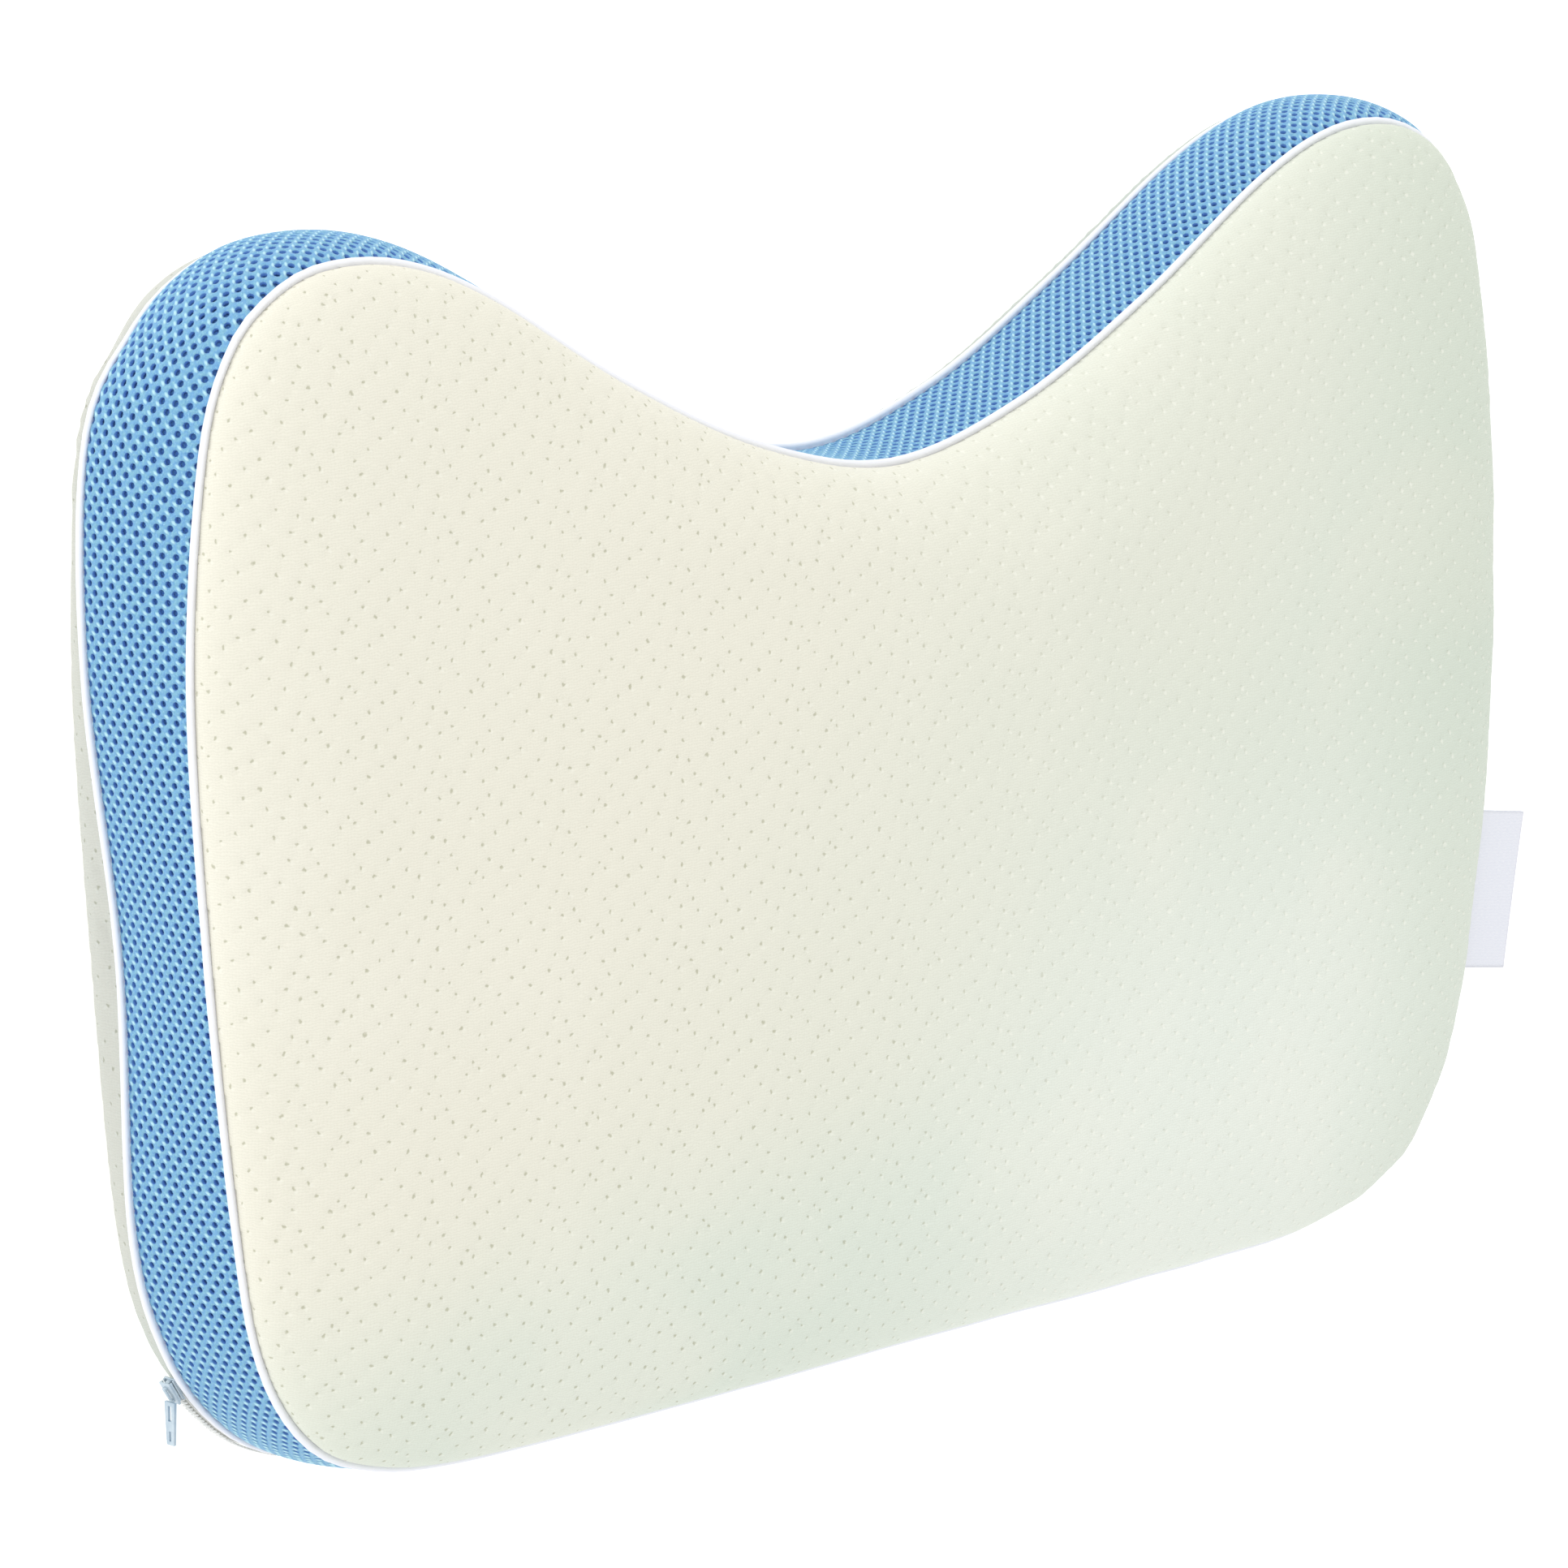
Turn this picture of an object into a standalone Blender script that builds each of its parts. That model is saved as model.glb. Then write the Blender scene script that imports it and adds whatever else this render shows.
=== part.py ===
"""Shaped memory foam pillow in its cover, lying on its back.

The face lies flat: +X runs along it, +Y points to the neck cut-out and +Z points out of the
front panel. The origin is in the middle of the flat place that the back rests on.
Sizes here are in millimetres and are turned into metres where a mesh is made.
"""

import math
from typing import NamedTuple

import bmesh
import bpy
from mathutils import Matrix, Vector

MM = 0.001

# Driving dimensions of the filled form
BACK_RISE = 30.0
BAND_DEPTH = 41.0
FRONT_RISE = 18.0
FRONT_CROWN = 14.0
CROWN_HALF_LENGTH = 330.0
CROWN_HALF_WIDTH = 235.0
CROWN_MIDDLE_UP = -15.0
BAND_RING_SHARES = (0.1, 0.5, 0.9)
BAND_FULLNESS = 0.4
PANEL_CROWN = 1.5
FRONT_SHOULDER = 54.0
BACK_SHOULDER = 50.0
SPINE_HALF_LENGTH = 185.0
SPINE_MIDDLE_UP = -42.0
SPINE_END_UP = 56.0

# Cover pieces
PANEL_THICKNESS = 3.0
PIECE_GAP = 0.4
PIPING_RADIUS = 1.3
PIPING_STAND_OFF = 1.75
SEAM_HALF_GAP = 0.3
LEDGE_INSET = 3.4

# Zip at the rear seam
ZIP_HALF_LENGTH = 269.0
ZIP_HALF_WIDTH = 2.2
ZIP_HALF_THICKNESS = 0.9
ZIP_BELOW_SEAM = 4.2
ZIP_STEP = 16.0
SLIDER_SIZE = (9.0, 3.2, 5.0)
SLIDER_BRIDGE_INSET = 1.2
SLIDER_BRIDGE_RISE = 1.2
SLIDER_BEVEL = 0.4
PULL_LENGTH = 14.0
PULL_ROOT_WIDTH = 4.8
PULL_TIP_WIDTH = 3.4
PULL_THICKNESS = 1.0
PULL_EYE = (5.0, 1.6)
PULL_SLOT = (3.2, 0.9)
PULL_EYE_DOWN = 3.8
PULL_SLOT_DOWN = 11.2
PULL_ABOVE_SLIDER = 2.4

# Folded label in the front seam of the right side
LABEL_LENGTH = 57.0
LABEL_REACH = 24.5
LABEL_LAYER = 0.6
LABEL_FOLD_GAP = 0.7
LABEL_UP = -88.0
LABEL_ABOVE_SEAM = 2.1
LABEL_CLEARANCE = 2.1

# Fineness
STATIONS_PER_QUARTER = 16
FINE_STEPS = 12
BEND_WEIGHT = 45.0

REAR_SEAM_HEIGHT = BACK_RISE
FRONT_SEAM_HEIGHT = BACK_RISE + BAND_DEPTH


class SeamPoint(NamedTuple):
    """A point of the front seam's left half, mirrored: across from the middle, up from mid-height.

    The flare is how far the rear seam lies outside it, the crown how far the band swells, and
    the slump how far the back panel's shoulder sags past the rear seam.
    """

    across: float
    up: float
    flare: float
    crown: float
    slump: float


class Slack(NamedTuple):
    """How far the right half lies outside the left one, at an angle up from +X in degrees."""

    angle: float
    outwards: float


class Station(NamedTuple):
    """A place on the seam: the point, the way out, its spine point, and the form there."""

    point: Vector
    outward: Vector
    spine: Vector
    flare: float
    crown: float
    slump: float


class Ring(NamedTuple):
    """A ring of a panel: how far straight in from its edge, and then towards the spine.

    The sag is the share of the slump that it takes.
    """

    inwards: float
    share: float
    sag: float


# From the middle of the neck cut-out over the hump and down the side
UPPER_SEAM = (
    SeamPoint(0.0, 101.3, 0.8, 1.0, -1.5),
    SeamPoint(60.8, 114.2, 1.8, 1.8, -2.5),
    SeamPoint(121.1, 141.9, 3.6, 2.8, -4.0),
    SeamPoint(177.9, 175.3, 2.8, 5.5, -2.5),
    SeamPoint(212.5, 189.0, 2.0, 7.5, 0.5),
    SeamPoint(242.9, 191.3, 2.0, 7.6, 1.0),
    SeamPoint(264.5, 184.1, 2.6, 7.6, 1.0),
    SeamPoint(280.6, 169.0, 4.6, 6.6, -1.5),
    SeamPoint(291.6, 138.8, 11.6, 4.0, -4.5),
    SeamPoint(298.3, 70.0, 7.4, 2.4, -0.5),
)

# From the widest point of the side round the bottom corner to the middle
LOWER_SEAM = (
    SeamPoint(293.8, -19.8, 1.5, 2.0, 6.0),
    SeamPoint(285.0, -104.7, 8.2, 2.0, 1.0),
    SeamPoint(276.8, -145.5, 5.2, 2.2, 1.5),
    SeamPoint(259.9, -172.9, 2.6, 3.0, 0.5),
    SeamPoint(235.3, -186.3, 3.6, 3.6, 0.0),
    SeamPoint(195.0, -192.5, 4.5, 3.0, 0.0),
    SeamPoint(100.0, -194.6, 4.5, 2.0, 0.0),
    SeamPoint(0.0, -195.2, 4.5, 2.0, 0.0),
)

# The soft filling lies unevenly: the right half from its bottom to its top
RIGHT_SLACK = (
    Slack(-90.0, 0.0),
    Slack(-78.0, 0.5),
    Slack(-60.0, 2.4),
    Slack(-52.0, 3.8),
    Slack(-45.5, 5.2),
    Slack(-40.5, 3.0),
    Slack(-36.5, 0.2),
    Slack(-32.0, -2.4),
    Slack(-27.5, -1.4),
    Slack(-20.0, 1.4),
    Slack(-10.0, 3.6),
    Slack(0.0, 2.6),
    Slack(8.5, -0.4),
    Slack(16.5, -2.8),
    Slack(26.0, -4.2),
    Slack(31.0, -3.8),
    Slack(35.5, -1.4),
    Slack(42.0, 0.9),
    Slack(60.0, 0.0),
    Slack(90.0, 0.0),
)

# Millimetres straight in from the fullest edge, share of the way on to the spine, and sag
SHOULDER_RINGS = (
    Ring(4.0, 0.0, 1.0),
    Ring(12.0, 0.0, 0.8),
    Ring(12.0, 0.1, 0.4),
    Ring(12.0, 0.28, 0.0),
    Ring(12.0, 0.58, 0.0),
    Ring(12.0, 1.0, 0.0),
)


def smooth_point(before, start, end, after, share):
    """Point on the smooth curve between start and end."""
    square, cube = share * share, share**3
    return 0.5 * (
        2 * start
        + (end - before) * share
        + (2 * before - 5 * start + 4 * end - after) * square
        + (3 * start - before - 3 * end + after) * cube
    )


def mirror(point):
    return Vector((-point[0], *point[1:]))


def slacken(point):
    """A point of the half as it lies on the pillow's right, where the filling is uneven."""
    angle = math.degrees(math.atan2(point[1], point[0]))
    here = max(i for i, slack in enumerate(RIGHT_SLACK[:-1]) if slack.angle <= angle)
    low, high = RIGHT_SLACK[here : here + 2]
    share = (angle - low.angle) / (high.angle - low.angle)
    share = share * share * (3 - 2 * share)
    outwards = low.outwards + (high.outwards - low.outwards) * share
    place = point_xy(point)
    place += place.normalized() * outwards
    return Vector((*place, *point[2:]))


def point_xy(point):
    return Vector(point[:2])


def fine_half_seam():
    """Closely spaced points of the left half, mirrored, and the index of its widest point."""
    table = [Vector(p) for p in UPPER_SEAM + LOWER_SEAM]
    padded = [mirror(table[1]), *table, mirror(table[-2])]
    points = []
    for i in range(len(table) - 1):
        for step in range(FINE_STEPS):
            points.append(smooth_point(*padded[i : i + 4], step / FINE_STEPS))
    points.append(table[-1])
    return points, (len(UPPER_SEAM) - 1) * FINE_STEPS


def turn_at(points, i):
    """How sharply the seam bends at a point, in radians per millimetre."""
    if i in (0, len(points) - 1):
        return 0.0
    before, here, after = (point_xy(p) for p in points[i - 1 : i + 2])
    angle = (here - before).angle(after - here)
    return angle / ((after - before).length / 2)


def spread(points, count):
    """Points at count even steps along the run, closer together where it bends."""
    travelled = [0.0]
    for i in range(1, len(points)):
        weight = 1 + BEND_WEIGHT * turn_at(points, i)
        step = (point_xy(points[i]) - point_xy(points[i - 1])).length
        travelled.append(travelled[-1] + step * weight)
    picked = []
    for step in range(count):
        goal = travelled[-1] * step / count
        i = max(j for j, way in enumerate(travelled) if way <= goal + 1e-9)
        i = min(i, len(points) - 2)
        share = (goal - travelled[i]) / (travelled[i + 1] - travelled[i])
        picked.append(points[i] * (1 - share) + points[i + 1] * share)
    return picked


FINE_HALF, WIDEST = fine_half_seam()
FINE_SEAM = [slacken(p) for p in FINE_HALF] + [mirror(p) for p in reversed(FINE_HALF[1:-1])]


def outward_at(points, i):
    """The way out of the pillow at a point of a clockwise run that closes on itself."""
    along = (point_xy(points[(i + 1) % len(points)]) - point_xy(points[i - 1])).normalized()
    return Vector((-along.y, along.x))


def make_stations():
    """Stations all round the seam, from the neck's middle clockwise seen from the front."""
    upper = spread(FINE_HALF[: WIDEST + 1], STATIONS_PER_QUARTER)
    lower = spread(FINE_HALF[WIDEST:], STATIONS_PER_QUARTER)
    half = upper + lower + [FINE_HALF[-1]]
    points = [slacken(p) for p in half] + [mirror(p) for p in reversed(half[1:-1])]
    count = len(points)
    stations = []
    for i, point in enumerate(points):
        outward = outward_at(points, i)
        share = math.sin(2 * math.pi * i / count)
        lift = share * share * (3 - 2 * abs(share))
        up = SPINE_MIDDLE_UP + (SPINE_END_UP - SPINE_MIDDLE_UP) * lift
        spine = Vector((SPINE_HALF_LENGTH * share, up))
        stations.append(Station(point_xy(point), outward, spine, *point[2:]))
    return stations


FRONT_OUTLINE = [point_xy(p) for p in FINE_SEAM]
REAR_OUTLINE = [place + outward_at(FINE_SEAM, i) * FINE_SEAM[i][2]
                for i, place in enumerate(FRONT_OUTLINE)]


def inset(point, outline):
    """Distance from a point of the face to a seam's outline."""
    nearest = math.inf
    for start, end in zip(outline, outline[1:] + outline[:1], strict=True):
        run = end - start
        share = max(0.0, min(1.0, (point - start).dot(run) / run.length_squared))
        nearest = min(nearest, (point - start - run * share).length)
    return nearest


def rounding(distance, shoulder):
    """Height, from 0 to 1, of a panel's rounded shoulder at a distance in from its edge."""
    left = max(0.0, 1 - distance / shoulder)
    return math.sqrt(1 - left * left)


def crown(point):
    """Extra height, from 0 to 1, of the front's broad crown."""
    across = point.x / CROWN_HALF_LENGTH
    up = (point.y - CROWN_MIDDLE_UP) / CROWN_HALF_WIDTH
    return (1 - across * across) * (1 - up * up)


def front_height(point, distance):
    """Height of the front panel's outer face above the front seam."""
    start = 2 * PANEL_CROWN
    rise = FRONT_RISE - start + FRONT_CROWN * crown(point)
    return start + rise * rounding(distance, FRONT_SHOULDER)


def back_drop(distance):
    """Depth of the back panel's outer face below the rear seam."""
    start = 2 * PANEL_CROWN
    return start + (BACK_RISE - start) * rounding(distance, BACK_SHOULDER)


STATIONS = make_stations()
COUNT = len(STATIONS)


def edge_ring(offset, height, flared=0.0):
    """A ring at an offset outwards from the front seam, or with a share of the rear's flare."""
    return [(*(s.point + s.outward * (offset + s.flare * flared)), height) for s in STATIONS]


def inner_ring(ring, flared, outline, height_at):
    """A ring on the way from the panel's fullest edge to the spine."""
    corners = []
    for s in STATIONS:
        place = s.point + s.outward * (s.flare * flared + PANEL_CROWN - ring.inwards)
        place += (s.spine - place) * ring.share
        height = height_at(place, inset(place, outline))
        place += s.outward * s.slump * ring.sag * flared
        corners.append((*place, height))
    return corners


def front_rings():
    """The front panel's outer face, from its seam to the spine."""

    def height_at(place, distance):
        return FRONT_SEAM_HEIGHT + front_height(place, distance)

    seam = edge_ring(0.0, FRONT_SEAM_HEIGHT + SEAM_HALF_GAP)
    full = edge_ring(PANEL_CROWN, FRONT_SEAM_HEIGHT + 2 * PANEL_CROWN)
    inner = [inner_ring(r, 0.0, FRONT_OUTLINE, height_at) for r in SHOULDER_RINGS]
    return [seam, full] + inner


def back_rings():
    """The back panel's outer face, from its seam to the spine."""

    def height_at(_place, distance):
        return REAR_SEAM_HEIGHT - back_drop(distance)

    seam = edge_ring(0.0, REAR_SEAM_HEIGHT - SEAM_HALF_GAP, 1.0)
    full = edge_ring(PANEL_CROWN, REAR_SEAM_HEIGHT - 2 * PANEL_CROWN, 1.0)
    inner = [inner_ring(r, 1.0, REAR_OUTLINE, height_at) for r in SHOULDER_RINGS]
    return [seam, full] + inner


def band_rings():
    """The band's outer face from the rear seam to the front seam."""
    rings = [edge_ring(0.0, REAR_SEAM_HEIGHT + SEAM_HALF_GAP, 1.0)]
    for share in BAND_RING_SHARES:
        bulge = math.sin(math.pi * share) ** BAND_FULLNESS
        height = REAR_SEAM_HEIGHT + BAND_DEPTH * share
        offsets = [s.flare * (1 - share) + s.crown * bulge for s in STATIONS]
        places = [s.point + s.outward * x for s, x in zip(STATIONS, offsets, strict=True)]
        rings.append([(*place, height) for place in places])
    rings.append(edge_ring(0.0, FRONT_SEAM_HEIGHT - SEAM_HALF_GAP))
    return rings


def partner(i):
    """Station across the spine, which meets the same spine point."""
    return (COUNT // 2 - i) % COUNT


def loft(rings, closed_ends):
    """Skin of triangles through the rings; an end named in closed_ends meets in the spine.

    Each four corners are split from the wider ring to the narrower one, towards the spine's
    ends, so that skins that lie on each other are split alike.
    """
    mesh = bmesh.new()
    grid = []
    for index, ring in enumerate(rings):
        at_spine = (index == 0 and "first" in closed_ends) or (
            index == len(rings) - 1 and "last" in closed_ends
        )
        row = []
        for i, corner in enumerate(ring):
            if at_spine and partner(i) < i:
                row.append(row[partner(i)])
            else:
                row.append(mesh.verts.new(Vector(corner) * MM))
        grid.append(row)
    for lower, upper in zip(grid, grid[1:]):
        for station in range(COUNT):
            i, j = station, (station + 1) % COUNT
            wide, narrow = lower, upper
            if upper[i].co.xy.length > lower[i].co.xy.length:
                wide, narrow = upper, lower
            if (4 * station // COUNT) % 2:
                i, j = j, i
            for corners in ((wide[i], wide[j], narrow[j]), (wide[i], narrow[j], narrow[i])):
                if len(set(corners)) == 3:
                    mesh.faces.new(corners)
    bmesh.ops.recalc_face_normals(mesh, faces=mesh.faces)
    mesh.normal_update()
    return mesh, grid


def inward(rings, side, depth):
    """The same rings moved into the pillow by a depth along the skin's normals."""
    mesh, grid = loft(rings, ("last",))
    middle = grid[-1][0].normal
    turned = 1.0 if middle.z * side > 0 else -1.0
    moved = [[tuple((v.co - v.normal * turned * depth * MM) / MM) for v in row] for row in grid]
    mesh.free()
    return moved


def material(name, colour, roughness, metallic=0.0):
    made = bpy.data.materials.new(name)
    made.use_nodes = True
    shader = made.node_tree.nodes["Principled BSDF"]
    shader.inputs["Base Color"].default_value = (*colour, 1.0)
    shader.inputs["Roughness"].default_value = roughness
    shader.inputs["Metallic"].default_value = metallic
    return made


def add_object(name, mesh, collection, finish):
    """New object of a bmesh, triangulated and smooth."""
    bmesh.ops.triangulate(mesh, faces=mesh.faces)
    data = bpy.data.meshes.new(name)
    mesh.to_mesh(data)
    mesh.free()
    data.materials.append(finish)
    data.shade_smooth()
    made = bpy.data.objects.new(name, data)
    collection.objects.link(made)
    return made


def add_panel(name, rings, side, collection, finish):
    """A panel: its outer face made a sheet."""
    mesh, grid = loft(rings, ("last",))
    if grid[-1][0].normal.z * side < 0:
        bmesh.ops.reverse_faces(mesh, faces=mesh.faces)
    panel = add_object(name, mesh, collection, finish)
    solid = panel.modifiers.new("thickness", "SOLIDIFY")
    solid.thickness = PANEL_THICKNESS * MM
    solid.offset = -1
    return panel


def add_side_band(collection, finish):
    """The band with the filling that it wraps, under both panels."""
    under = PANEL_THICKNESS + PIECE_GAP
    back = inward(back_rings(), -1, under)
    front = inward(front_rings(), 1, under)
    rear_ledge = edge_ring(-LEDGE_INSET, REAR_SEAM_HEIGHT - SEAM_HALF_GAP, 1.0)
    front_ledge = edge_ring(-LEDGE_INSET, FRONT_SEAM_HEIGHT + SEAM_HALF_GAP)
    rings = back[::-1] + [rear_ledge] + band_rings() + [front_ledge] + front
    mesh, _grid = loft(rings, ("first", "last"))
    return add_object("side_band", mesh, collection, finish)


def add_piping(name, height, flared, collection, finish):
    """Round piping all along a seam."""
    curve = bpy.data.curves.new(name, "CURVE")
    curve.dimensions = "3D"
    curve.bevel_depth = PIPING_RADIUS * MM
    curve.bevel_resolution = 2
    line = curve.splines.new("POLY")
    line.points.add(COUNT - 1)
    ring = edge_ring(PIPING_STAND_OFF, height, flared)
    for point, corner in zip(line.points, ring, strict=True):
        point.co = (*(Vector(corner) * MM), 1.0)
    line.use_cyclic_u = True
    curve.materials.append(finish)
    made = bpy.data.objects.new(name, curve)
    collection.objects.link(made)
    return made


def seam_run(half_length):
    """Points of the bottom of the seam, from the left corner to the right one."""
    lower = [p for p in FINE_HALF[WIDEST:] if p[0] <= half_length]
    half = spread(lower[::-1], int(half_length / ZIP_STEP)) + [lower[0]]
    return [mirror(p) for p in reversed(half[1:])] + [slacken(p) for p in half]


def run_frame(points, i):
    """Direction along a run and the way out of the pillow at one of its points."""
    after, before = points[min(i + 1, len(points) - 1)], points[max(i - 1, 0)]
    along = (point_xy(after) - point_xy(before)).normalized()
    return along, Vector((along.y, -along.x))


ZIP_OFFSET = PANEL_CROWN + PIECE_GAP + ZIP_HALF_THICKNESS
ZIP_HEIGHT = REAR_SEAM_HEIGHT - ZIP_BELOW_SEAM


def add_zip_chain(collection, finish):
    """Closed coil zip: a rounded strip along the bottom of the rear seam."""
    run = seam_run(ZIP_HALF_LENGTH)
    curve = bpy.data.curves.new("zip_chain", "CURVE")
    curve.dimensions = "3D"
    curve.fill_mode = "FULL"
    curve.extrude = (ZIP_HALF_WIDTH - ZIP_HALF_THICKNESS) * MM
    curve.bevel_depth = ZIP_HALF_THICKNESS * MM
    curve.bevel_resolution = 1
    curve.use_fill_caps = True
    curve.twist_mode = "Z_UP"
    line = curve.splines.new("POLY")
    line.points.add(len(run) - 1)
    for i, point in enumerate(run):
        _along, outward = run_frame(run, i)
        place = point_xy(point) + outward * (point[2] + ZIP_OFFSET)
        line.points[i].co = (*(place * MM), ZIP_HEIGHT * MM, 1.0)
    curve.materials.append(finish)
    made = bpy.data.objects.new("zip_chain", curve)
    collection.objects.link(made)
    return made


def zip_end():
    """Left end of the chain and the way out of the pillow there."""
    run = seam_run(ZIP_HALF_LENGTH)
    along, outward = run_frame(run, 0)
    return point_xy(run[0]) + outward * (run[0][2] + ZIP_OFFSET), along, outward


def add_block(mesh, size, centre):
    """Box of a size about a centre, in millimetres, added to a bmesh."""
    place = Matrix.Translation(Vector(centre) * MM)
    scale = Matrix.Diagonal((*(Vector(size) * MM), 1.0))
    return bmesh.ops.create_cube(mesh, size=1.0, matrix=place @ scale)


def add_slider(collection, finish):
    """Zip slider just past the chain's end, with the bridge that carries the pull."""
    end, along, outward = zip_end()
    mesh = bmesh.new()
    add_block(mesh, SLIDER_SIZE, (0.0, 0.0, 0.0))
    top = [f for f in mesh.faces if f.normal.y > 0.5]
    bmesh.ops.inset_individual(mesh, faces=top, thickness=SLIDER_BRIDGE_INSET * MM)
    lifted = bmesh.ops.extrude_discrete_faces(mesh, faces=top)
    for vert in {v for f in lifted["faces"] for v in f.verts}:
        vert.co.y += SLIDER_BRIDGE_RISE * MM
    body = add_object("zip_slider", mesh, collection, finish)
    bevel = body.modifiers.new("soft edges", "BEVEL")
    bevel.width = SLIDER_BEVEL * MM
    bevel.segments = 1
    place = end - along * (SLIDER_SIZE[0] / 2 + PIECE_GAP)
    place = place + outward * (SLIDER_SIZE[1] / 2 - ZIP_HALF_THICKNESS)
    body.location = Vector((place.x, place.y, ZIP_HEIGHT)) * MM
    body.rotation_euler.z = math.atan2(outward.y, outward.x) - math.pi / 2
    return place, outward


def add_pull(slider_place, outward, collection, finish):
    """Flat tapered pull tab that hangs down the face from the slider's bridge."""
    mesh = bmesh.new()
    size = (PULL_THICKNESS, PULL_LENGTH, PULL_ROOT_WIDTH)
    add_block(mesh, size, (0.0, -PULL_LENGTH / 2, 0.0))
    for vert in mesh.verts:
        if vert.co.y < -PULL_LENGTH * MM / 2:
            vert.co.z *= PULL_TIP_WIDTH / PULL_ROOT_WIDTH
    pull = add_object("zip_pull", mesh, collection, finish)
    reach = SLIDER_SIZE[1] / 2 + SLIDER_BRIDGE_RISE + PIECE_GAP + PULL_THICKNESS / 2
    root = slider_place + outward * reach
    pull.location = Vector((root.x, root.y, ZIP_HEIGHT + PULL_ABOVE_SLIDER)) * MM
    return pull


def cut_slots(pull, cutters):
    """Cut the pull's eye and slot through it."""
    for name, (length, width), down in (
        ("pull_eye", PULL_EYE, PULL_EYE_DOWN),
        ("pull_slot", PULL_SLOT, PULL_SLOT_DOWN),
    ):
        mesh = bmesh.new()
        add_block(mesh, (4 * PULL_THICKNESS, length, width), (0.0, -down, 0.0))
        data = bpy.data.meshes.new(name)
        mesh.to_mesh(data)
        mesh.free()
        cutter = bpy.data.objects.new(name, data)
        cutter.location = pull.location
        cutter.hide_render = True
        cutter.display_type = "WIRE"
        cutters.objects.link(cutter)
        cut = pull.modifiers.new(name, "BOOLEAN")
        cut.operation = "DIFFERENCE"
        cut.object = cutter


def add_label(collection, finish):
    """Folded tab: two layers joined at the outer fold, in the front seam of the right side."""
    below = max(i for i in range(COUNT // 2) if STATIONS[i].point.y > LABEL_UP)
    here, there = STATIONS[below], STATIONS[below + 1]
    share = (here.point.y - LABEL_UP) / (here.point.y - there.point.y)
    root = here.point.lerp(there.point, share)
    outward = here.outward.lerp(there.outward, share).normalized()
    half = LABEL_FOLD_GAP / 2
    section = (
        (0.0, half),
        (0.0, half + LABEL_LAYER),
        (LABEL_REACH - half, half + LABEL_LAYER),
        (LABEL_REACH + LABEL_LAYER, half),
        (LABEL_REACH + LABEL_LAYER, -half),
        (LABEL_REACH - half, -half - LABEL_LAYER),
        (0.0, -half - LABEL_LAYER),
        (0.0, -half),
        (LABEL_REACH - half, -half),
        (LABEL_REACH - half, half),
    )
    mesh = bmesh.new()
    corners = [
        mesh.verts.new(Vector((x, -LABEL_LENGTH / 2, z)) * MM) for x, z in section
    ]
    face = mesh.faces.new(corners)
    grown = bmesh.ops.extrude_face_region(mesh, geom=[face])
    for item in grown["geom"]:
        if isinstance(item, bmesh.types.BMVert):
            item.co.y += LABEL_LENGTH * MM
    bmesh.ops.recalc_face_normals(mesh, faces=mesh.faces)
    label = add_object("side_label", mesh, collection, finish)
    start = root + outward * LABEL_CLEARANCE
    height = FRONT_SEAM_HEIGHT + LABEL_ABOVE_SEAM + half
    label.location = Vector((start.x, start.y, height)) * MM
    label.rotation_euler.z = math.atan2(outward.y, outward.x)
    return label


def clear_scene():
    for item in list(bpy.data.objects):
        bpy.data.objects.remove(item)


def new_collection(name):
    made = bpy.data.collections.new(name)
    bpy.context.scene.collection.children.link(made)
    return made


def build():
    clear_scene()
    pillow = new_collection("memory_foam_pillow")
    cutters = new_collection("cutters")
    mesh_blue = material("spacer mesh", (0.20, 0.48, 0.80), 0.85)
    jersey = material("padded jersey", (0.88, 0.87, 0.78), 0.9)
    piping = material("piping", (0.86, 0.87, 0.92), 0.6)
    zip_tape = material("zip coil", (0.85, 0.86, 0.84), 0.6)
    zip_metal = material("painted zip metal", (0.62, 0.70, 0.76), 0.4, 0.5)
    label_satin = material("label satin", (0.90, 0.90, 0.93), 0.5)

    add_side_band(pillow, mesh_blue)
    add_panel("front_panel", front_rings(), 1, pillow, jersey)
    add_panel("back_panel", back_rings(), -1, pillow, jersey)
    add_piping("piping_front", FRONT_SEAM_HEIGHT, 0.0, pillow, piping)
    add_piping("piping_rear", REAR_SEAM_HEIGHT, 1.0, pillow, piping)
    add_zip_chain(pillow, zip_tape)
    slider_place, outward = add_slider(pillow, zip_metal)
    pull = add_pull(slider_place, outward, pillow, zip_metal)
    cut_slots(pull, cutters)
    add_label(pillow, label_satin)


build()
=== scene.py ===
"""Looks of a shaped memory foam pillow: its cover, sewing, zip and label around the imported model.

The pillow lies on its back: +X runs along it, +Y points to the neck cut-out and +Z points out
of the front panel. All lengths are in metres. The face of the cover is worked out as flat cloth
first, and is then laid over the filled form by its distance from the seam.
"""

import math
from typing import NamedTuple

import bmesh
import bpy
import numpy as np
from mathutils import Matrix, Vector


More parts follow.
